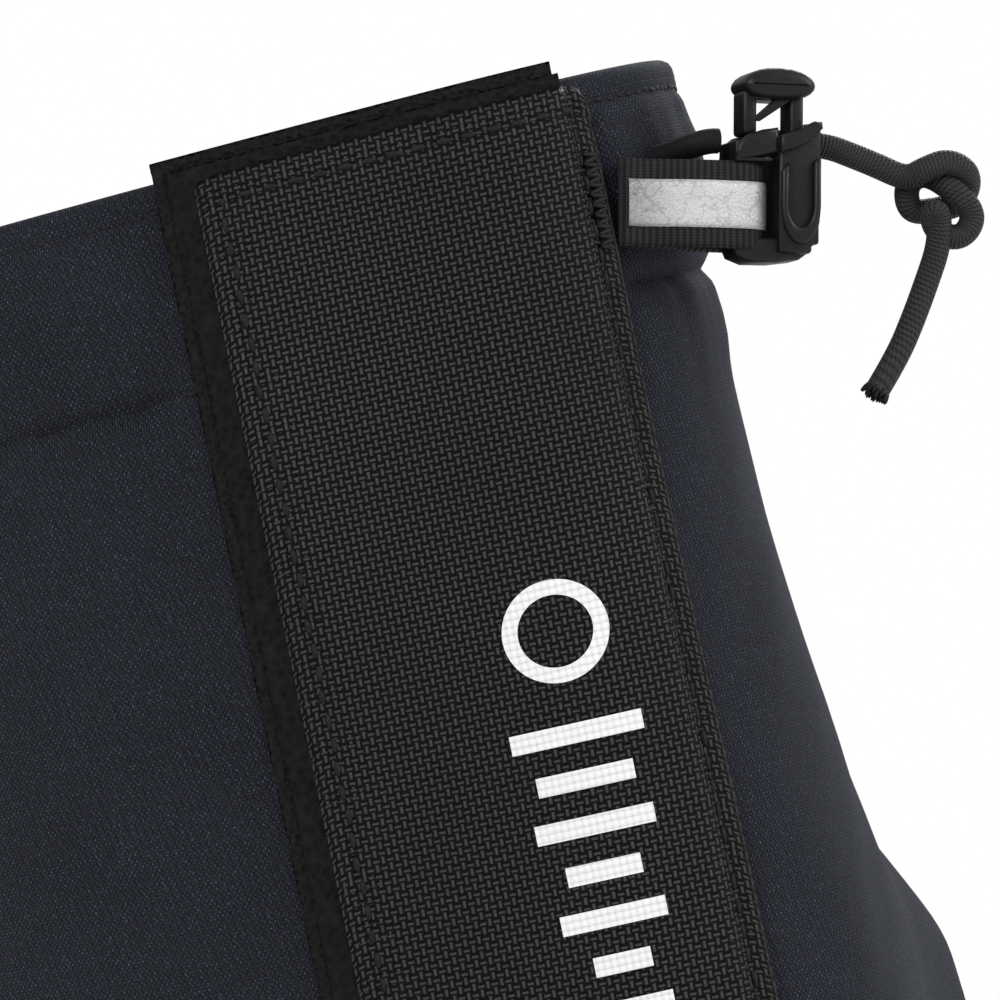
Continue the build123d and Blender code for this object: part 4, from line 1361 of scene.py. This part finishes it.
@dataclass
class Lock:
    """The cord lock's body and its spring plunger. Millimetres, in the lock's own frame."""

    depth: float = 8.4
    bar: float = 3.2
    slot: float = 2.2
    spring_x: float = 7.575
    spring_foot: float = 1.75
    spring_run: tuple[float, float] = (1.95, 5.95)
    spring_radius: float = 1.15
    wire_radius: float = 0.175
    coils: int = 4
    frames: SideFrames = field(default_factory=SideFrames)

    def outline(self, points: Sequence[tuple[float, float]], low: float, high: float, radius: float,
                bm: bmesh.types.BMesh, segments: int = 3) -> None:
        """Add a flat plate of any outline with rounded edges.

        Args:
            points: its outline across the lock.
            low: back face.
            high: front face.
            radius: of the rounded edges.
            bm: the mesh that takes it.
            segments: of the rounding.
        """
        plate = bmesh.new()
        ring = [plate.verts.new(Vector((x, y, low)) * MM) for x, y in points]
        floor = plate.faces.new(ring)
        made = bmesh.ops.extrude_face_region(plate, geom=[floor])
        lifted = [v for v in made["geom"] if isinstance(v, bmesh.types.BMVert)]
        bmesh.ops.translate(plate, vec=(0, 0, (high - low) * MM), verts=lifted)
        bmesh.ops.recalc_face_normals(plate, faces=plate.faces[:])
        flat = [e for e in plate.edges if abs(e.verts[0].co.z - e.verts[1].co.z) < 1e-7]
        bmesh.ops.bevel(plate, geom=flat, offset=radius * MM, affect="EDGES", segments=segments,
                        profile=0.5, material=-1)
        bmesh.ops.transform(plate, matrix=self.frames.lock(), verts=plate.verts[:])
        join(bm, plate)

    def body(self, material: bpy.types.Material) -> bpy.types.Object:
        """The housing: bar, frame and shield with a recess.

        Args:
            material: its finish.

        Returns:
            The piece.
        """
        bm, frame = bmesh.new(), self.frames.lock()
        half = self.depth / 2
        block(bm, frame, (0, 0.6, -1.6), (self.bar, 13.2, 1.6), 0.75)
        foot = [(-0.2, 1.6), (0.4, 0.3), (2.2, -0.35), (5.4, -0.3), (8.2, 0.1), (9.6, 1.1), (9.2, 2.6),
                (5.0, 2.7), (0.6, 2.4)]
        self.outline(foot, -2.6, 2.6, 0.6, bm)
        head = [(0.0, 11.6), (0.3, 13.6), (1.6, 14.7), (3.4, 15.3), (5.3, 15.6), (5.3, 12.6), (3.2, 12.2)]
        self.outline(head, half - 2.0, half - 0.6, 0.55, bm)
        self.outline(head, -half + 0.2, -half + 1.8, 0.55, bm)
        block(bm, frame, (0.0, 11.5, -half + 0.8), (1.1, 14.0, half - 1.0), 0.4)
        block(bm, frame, (0.0, 11.5, -half + 0.8), (4.6, 12.0, half - 1.0), 0.2)
        low = self.bar + self.slot
        back = [(low, 1.4), (9.6, 1.2), (10.5, 3.4), (10.5, 15.4), (9.9, 16.2), (low, 15.9)]
        self.outline(back, -half, -half + 1.3, 0.5, bm)
        shield = [(low, 0.9), (8.6, 0.7), (9.9, 2.0), (10.5, 4.6), (10.5, 12.2), (10.6, 15.2),
                  (10.0, 16.3), (8.6, 16.1), (6.6, 15.0), (low, 14.6)]
        self.outline(shield, half - 2.0, half - 0.75, 0.45, bm)
        for points in (self.rim(), self.lug()):
            self.outline(points, half - 1.1, half, 0.42, bm)
        block(bm, frame, (low, 1.2, -half + 0.4), (low + 0.75, 12.2, half - 0.9), 0.3)
        block(bm, frame, (9.5, 1.9, -half + 0.4), (10.4, 11.9, half - 0.9), 0.35)
        block(bm, frame, (low, 0.8, -half + 0.6), (9.6, 2.0, half - 1.0), 0.5)
        block(bm, frame, (9.5, 11.6, -half + 0.2), (10.5, 12.3, half - 0.9), 0.25)
        return finish_mesh(bm, "lock_housing", material)

    def rim(self) -> list[tuple[float, float]]:
        """Raised border of the shield, open at the top, round its recess."""
        outer, inner = [], []
        for angle in even(180, 360, 18):
            turn = math.radians(angle)
            outer.append((7.95 + 2.45 * math.cos(turn), 6.4 + 4.6 * math.sin(turn)))
            inner.append((7.95 + 1.55 * math.cos(turn), 6.4 + 2.6 * math.sin(turn)))
        outer.append((10.4, 12.3))
        inner.append((9.5, 11.6))
        left_top = [(6.4, 11.4), (5.5, 10.4)]
        return outer + inner[::-1] + left_top

    def lug(self) -> list[tuple[float, float]]:
        """Diagonal upper collar that the plunger slides through."""
        return [(5.4, 12.6), (7.4, 13.2), (9.2, 14.2), (10.6, 15.6), (10.5, 16.4), (9.5, 16.4), (7.6, 15.4),
                (5.4, 14.7)]

    def plunger(self, material: bpy.types.Material) -> bpy.types.Object:
        """Stem with its window and the domed thumb cap.

        Args:
            material: its finish.

        Returns:
            The piece.
        """
        bm, frame = bmesh.new(), self.frames.lock()
        wide = 2.1
        block(bm, frame, (1.3, 14.75, -wide), (3.0, 20.0, wide), 0.45)
        block(bm, frame, (7.1, 12.9, -wide), (8.8, 20.0, wide), 0.45)
        block(bm, frame, (1.5, 18.9, -wide), (8.6, 20.4, wide), 0.4)
        block(bm, frame, (6.5, 6.25, -2.0), (8.8, 13.6, 2.0), 0.35)
        rib = [(2.2, 16.4), (3.4, 16.4), (7.7, 19.3), (7.1, 20.0), (6.2, 20.0)]
        self.outline(rib, wide - 0.7, wide + 0.05, 0.2, bm)
        dome = []
        middle = 5.6
        for step in range(25):
            turn = math.radians(15 * step)
            wave = abs(math.cos(turn)) ** 0.85 * (1 if math.cos(turn) > 0 else -1)
            dome.append((middle + 4.45 * wave, 20.85 + 1.9 * math.sin(turn) - 0.012 * (4 * wave) ** 2))
        self.outline(dome[:-1], -3.5, 3.5, 1.25, bm, 5)
        return finish_mesh(bm, "thumb_plunger", material)

    def spring(self, material: bpy.types.Material) -> bpy.types.Object:
        """Coil under the plunger's leg.

        Args:
            material: its finish.

        Returns:
            The piece.
        """
        bm = bmesh.new()
        low, high = self.spring_run
        steps = self.coils * 26
        start = Matrix.Translation(Vector((self.spring_x + self.spring_radius, low, 0)) * MM)
        bmesh.ops.create_circle(bm, cap_ends=True, segments=10, radius=self.wire_radius * MM, matrix=start)
        rise = Vector((0, (high - low) / steps, 0)) * MM
        bmesh.ops.spin(bm, geom=bm.verts[:] + bm.edges[:] + bm.faces[:],
                       cent=Vector((self.spring_x, 0, 0)) * MM, axis=(0, 1, 0), dvec=rise,
                       angle=2 * math.pi * self.coils, steps=steps)
        bmesh.ops.recalc_face_normals(bm, faces=bm.faces[:])
        bmesh.ops.transform(bm, matrix=self.frames.lock(), verts=bm.verts[:])
        return finish_mesh(bm, "plunger_spring", material)

    def build(self) -> list[bpy.types.Object]:
        """Build the lock. Returns: the pieces."""
        acetal = Moulded().material()
        coil = self.spring(Hardware().wire.material())
        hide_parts("lock_spring")
        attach(coil, "lock")
        foot = self.frames.lock() @ (Vector((self.spring_x, self.spring_foot, 0)) * MM)
        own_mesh(coil)
        body, plunger = self.body(acetal), self.plunger(acetal)
        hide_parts("lock_body")
        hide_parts("lock_plunger")
        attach(body, "lock")
        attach(plunger, "plunger")
        return [body, plunger, coil]


@dataclass
class Drawcord:
    """The elastic cord's free run, with a knot and a cut end. Millimetres, in the lock's own frame."""

    diameter: float = 3.0
    strand: tuple = ((10.5, 14.05, 0.0), (12.6, 13.9, 0.1), (15.2, 13.0, 0.3), (18.4, 11.9, 0.3))
    knot: tuple = ((22.2, 10.3, 0.6), (24.0, 11.5, 1.8), (27.0, 12.7, 2.0), (30.2, 11.2, 0.8),
                   (30.1, 8.0, -1.6), (27.1, 7.1, -2.3), (23.4, 6.6, -1.9), (22.7, 9.8, -1.5),
                   (24.9, 11.5, -1.2), (27.7, 9.3, 1.4), (30.4, 6.3, 2.0), (28.9, 3.4, 1.7),
                   (25.9, 3.8, 1.2), (24.6, 6.3, 2.2))
    tail: tuple = ((25.6, 6.4, 2.6), (26.0, 2.6, 1.4), (25.0, -1.4, 0.3), (23.3, -6.2, 0.0),
                   (21.4, -10.8, -0.3), (18.8, -15.0, -0.3))
    frames: SideFrames = field(default_factory=SideFrames)

    def curve(self, name: str, points: Sequence[Vector], material: bpy.types.Material) -> bpy.types.Object:
        """A round cord along one open NURBS spline.

        Args:
            name: the name it gets.
            points: control points.
            material: its finish.

        Returns:
            The piece.
        """
        data = bpy.data.curves.new(name, "CURVE")
        data.dimensions = "3D"
        data.bevel_depth = self.diameter / 2 * MM
        data.bevel_resolution = 7
        data.resolution_u = 14
        data.use_fill_caps = True
        spline = data.splines.new("NURBS")
        spline.points.add(len(points) - 1)
        for knot, place in zip(spline.points, points):
            knot.co = (*place, 1.0)
        spline.order_u = 3
        spline.use_endpoint_u = True
        data.materials.append(material)
        piece = bpy.data.objects.new(name, data)
        bpy.context.scene.collection.objects.link(piece)
        return piece

    def build(self) -> list[bpy.types.Object]:
        """Build the free cord and its cut end. Returns: the pieces."""
        sheath = CordSheath().material()
        matrix = self.frames.lock()
        route = [matrix @ (Vector(p) * MM) for p in self.strand + self.knot + self.tail]
        cord = self.curve("drawcord_free_end", route, sheath)
        length = self.length(route)
        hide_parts("drawcord_strand", "drawcord_knot", "drawcord_tail")
        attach(cord, "lock")
        cut = self.cut_end(route[-1], (route[-1] - route[-2]).normalized(), sheath)
        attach(cut, "lock")
        return [cord, cut]

    def length(self, points: Sequence[Vector]) -> float:
        """Length of the spline through a control polygon.

        Args:
            points: control points.

        Returns:
            Metres.
        """
        total, last = 0.0, points[0]
        for index in range(1, len(points) - 1):
            start = points[index - 1].lerp(points[index], 0.5) if index > 1 else points[0]
            end = points[index].lerp(points[index + 1], 0.5) if index < len(points) - 2 else points[-1]
            for step in range(1, 13):
                t = step / 12
                here = start * (1 - t) ** 2 + points[index] * 2 * t * (1 - t) + end * t * t
                total += (here - last).length
                last = here
        return total

    def cut_end(self, place: Vector, along: Vector, material: bpy.types.Material) -> bpy.types.Object:
        """Frayed, slightly flared end of the cord.

        Args:
            place: where it is, in metres.
            along: direction of the cord.
            material: its finish.

        Returns:
            The piece.
        """
        bm = bmesh.new()
        turn = along.to_track_quat("Z", "Y").to_matrix().to_4x4()
        turn.translation = place
        chance = random.Random(4)
        for ring in range(3):
            count = 5 + ring * 6
            for index in range(count):
                angle = 2 * math.pi * (index + chance.random() * 0.5) / count
                reach = 0.25 + 0.58 * ring
                size = Matrix.Diagonal((0.26 * MM, 0.26 * MM, 0.9 * MM, 1))
                spot = Vector((reach * math.cos(angle), reach * math.sin(angle), chance.uniform(-0.3, 0.25)))
                lean = Matrix.Rotation(0.16 * ring, 4, Vector((-math.sin(angle), math.cos(angle), 0)))
                matrix = turn @ Matrix.Translation(spot * MM) @ lean @ size
                bmesh.ops.create_uvsphere(bm, u_segments=6, v_segments=5, radius=1, matrix=matrix)
        return finish_mesh(bm, "drawcord_cut_end", material)


# ---- parts carried over from the frame ----------------------------------------------------------
@dataclass
class Hardware:
    """Metal and moulded parts that keep their engineered form and take a finish here."""

    steel: Moulded = Moulded("gunmetal", (0.10, 0.10, 0.105), (0.26, 0.26, 0.27), 0.30, 0.9, 1500.0, 0.02)
    plated: Moulded = Moulded("nickel", (0.42, 0.42, 0.41), (0.72, 0.72, 0.70), 0.22, 1.0, 1300.0, 0.015)
    wire: Moulded = Moulded("spring_steel", (0.35, 0.35, 0.36), (0.60, 0.60, 0.61), 0.25, 1.0, 1300.0, 0.01)
    rubber: Moulded = Moulded("strap_rubber", (0.009, 0.009, 0.010), (0.030, 0.030, 0.032), 0.55, 0.0,
                              700.0, 0.07)
    patch: Moulded = Moulded("reinforced_cloth", (0.008, 0.008, 0.009), (0.040, 0.040, 0.043), 0.7, 0.0,
                             1600.0, 0.12)
    metal_nodes: tuple = ("buckle_frame", "buckle_pin", "buckle_lever", "lace_hook", "hook_rivet",
                          "outer_strap_rivet", "inner_strap_rivet")

    def dress(self, nodes: dict[str, bpy.types.Object]) -> list[str]:
        """Give each carried-over node its finish.

        Args:
            nodes: objects by node name.

        Returns:
            The names dressed.
        """
        plans = [
            (self.metal_nodes, self.steel.material()),
            (("eyelet",), self.plated.material()),
            (("instep_strap",), self.rubber.material()),
            (("outer_strap_patch", "inner_strap_patch", "hook_patch"), self.patch.material()),
            (("drawcord_ring", "drawcord_lead"), CordSheath(name="cord_in_casing").material()),
        ]
        dressed = []
        for names, material in plans:
            for name in names:
                node = nodes[name]
                if not node.data.materials:
                    node.data.materials.append(material)
                for place in range(len(node.data.materials)):
                    node.data.materials[place] = material
                dressed.append(name)
        return dressed


# ---- studio -------------------------------------------------------------------------------------
@dataclass
class Studio:
    """White surround, soft lights and a long lens level with the closure's top."""

    azimuth: float = -5.0
    roll: float = 12.0
    centre_across: float = 0.0124
    centre_z: float = 0.3888
    closure_y: float = -0.056
    distance: float = 1.0
    lens: float = 310.0
    fill: float = 0.55

    def camera(self) -> bpy.types.Object:
        """The camera that looks at the closure's top. Returns: it."""
        turn = math.radians(self.azimuth)
        level = Vector((math.cos(turn), math.sin(turn), 0))
        forward = Vector((-math.sin(turn), math.cos(turn), 0))
        upright = Vector((0, 0, 1))
        lean = math.radians(self.roll)
        right = level * math.cos(lean) - upright * math.sin(lean)
        up = upright * math.cos(lean) + level * math.sin(lean)
        target = level * self.centre_across + upright * self.centre_z + forward * self.closure_y
        data = bpy.data.cameras.new("camera")
        data.lens, data.sensor_width = self.lens, 36.0
        data.clip_start, data.clip_end = 0.05, 20.0
        piece = bpy.data.objects.new("camera", data)
        matrix = Matrix((right, up, -forward)).transposed().to_4x4()
        matrix.translation = target - forward * self.distance
        piece.matrix_world = matrix
        bpy.context.scene.collection.objects.link(piece)
        bpy.context.scene.camera = piece
        return piece

    def light(self, name: str, place: Point, target: Point, size: float, power: float) -> None:
        """A soft square light.

        Args:
            name: the name it gets.
            place: where it is, in metres.
            target: what it points at.
            size: side of its square.
            power: its watts.
        """
        data = bpy.data.lights.new(name, "AREA")
        data.size, data.energy = size, power
        piece = bpy.data.objects.new(name, data)
        piece.location = place
        aim = Vector(target) - Vector(place)
        piece.rotation_euler = aim.to_track_quat("-Z", "Y").to_euler()
        bpy.context.scene.collection.objects.link(piece)

    def floor(self) -> bpy.types.Object:
        """Pale floor under the object. Returns: it."""
        bm = bmesh.new()
        bmesh.ops.create_grid(bm, x_segments=4, y_segments=4, size=1.5)
        bmesh.ops.translate(bm, vec=(0, 0, -0.001), verts=bm.verts[:])
        pale = Moulded("floor_pale", (0.82, 0.82, 0.82), (0.86, 0.86, 0.86), 0.8, 0.0, 30.0, 0.02)
        return finish_mesh(bm, "studio_floor", pale.material())

    def build(self) -> bpy.types.Object:
        """Place the world, the lights, the floor and the camera. Returns: the floor."""
        world = bpy.data.worlds.new("studio")
        world.use_nodes = True
        backdrop = world.node_tree.nodes["Background"]
        backdrop.inputs["Color"].default_value = (1, 1, 1, 1)
        seen = world.node_tree.nodes.new("ShaderNodeLightPath")
        level = world.node_tree.nodes.new("ShaderNodeMapRange")
        level.inputs["To Min"].default_value = self.fill
        level.inputs["To Max"].default_value = 1.0
        world.node_tree.links.new(seen.outputs["Is Camera Ray"], level.inputs["Value"])
        world.node_tree.links.new(level.outputs["Result"], backdrop.inputs["Strength"])
        bpy.context.scene.world = world
        bpy.context.scene.view_settings.view_transform = "Standard"
        aim = (0.0, 0.0, 0.39)
        self.light("key", (-0.55, -0.95, 1.15), aim, 0.6, 9.0)
        self.light("right_fill", (1.1, -0.35, 0.75), aim, 0.5, 7.0)
        self.light("rim", (0.5, 0.9, 0.9), aim, 0.5, 6.0)
        self.camera()
        return self.floor()


def main() -> None:
    """Build the gaiter piece by piece and dress the parts carried over from the frame."""
    logging.basicConfig(level=logging.INFO, format="%(message)s")
    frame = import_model()
    Studio().build()
    for assembly in (Drawcord(), Closure(), Shell(), Tab(), Lock()):
        for piece in assembly.build():
            LOG.info("built %s", piece.name)
    LOG.info("dressed %s", ", ".join(Hardware().dress(frame["nodes"])))
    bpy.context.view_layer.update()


if __name__ == "__main__":
    main()
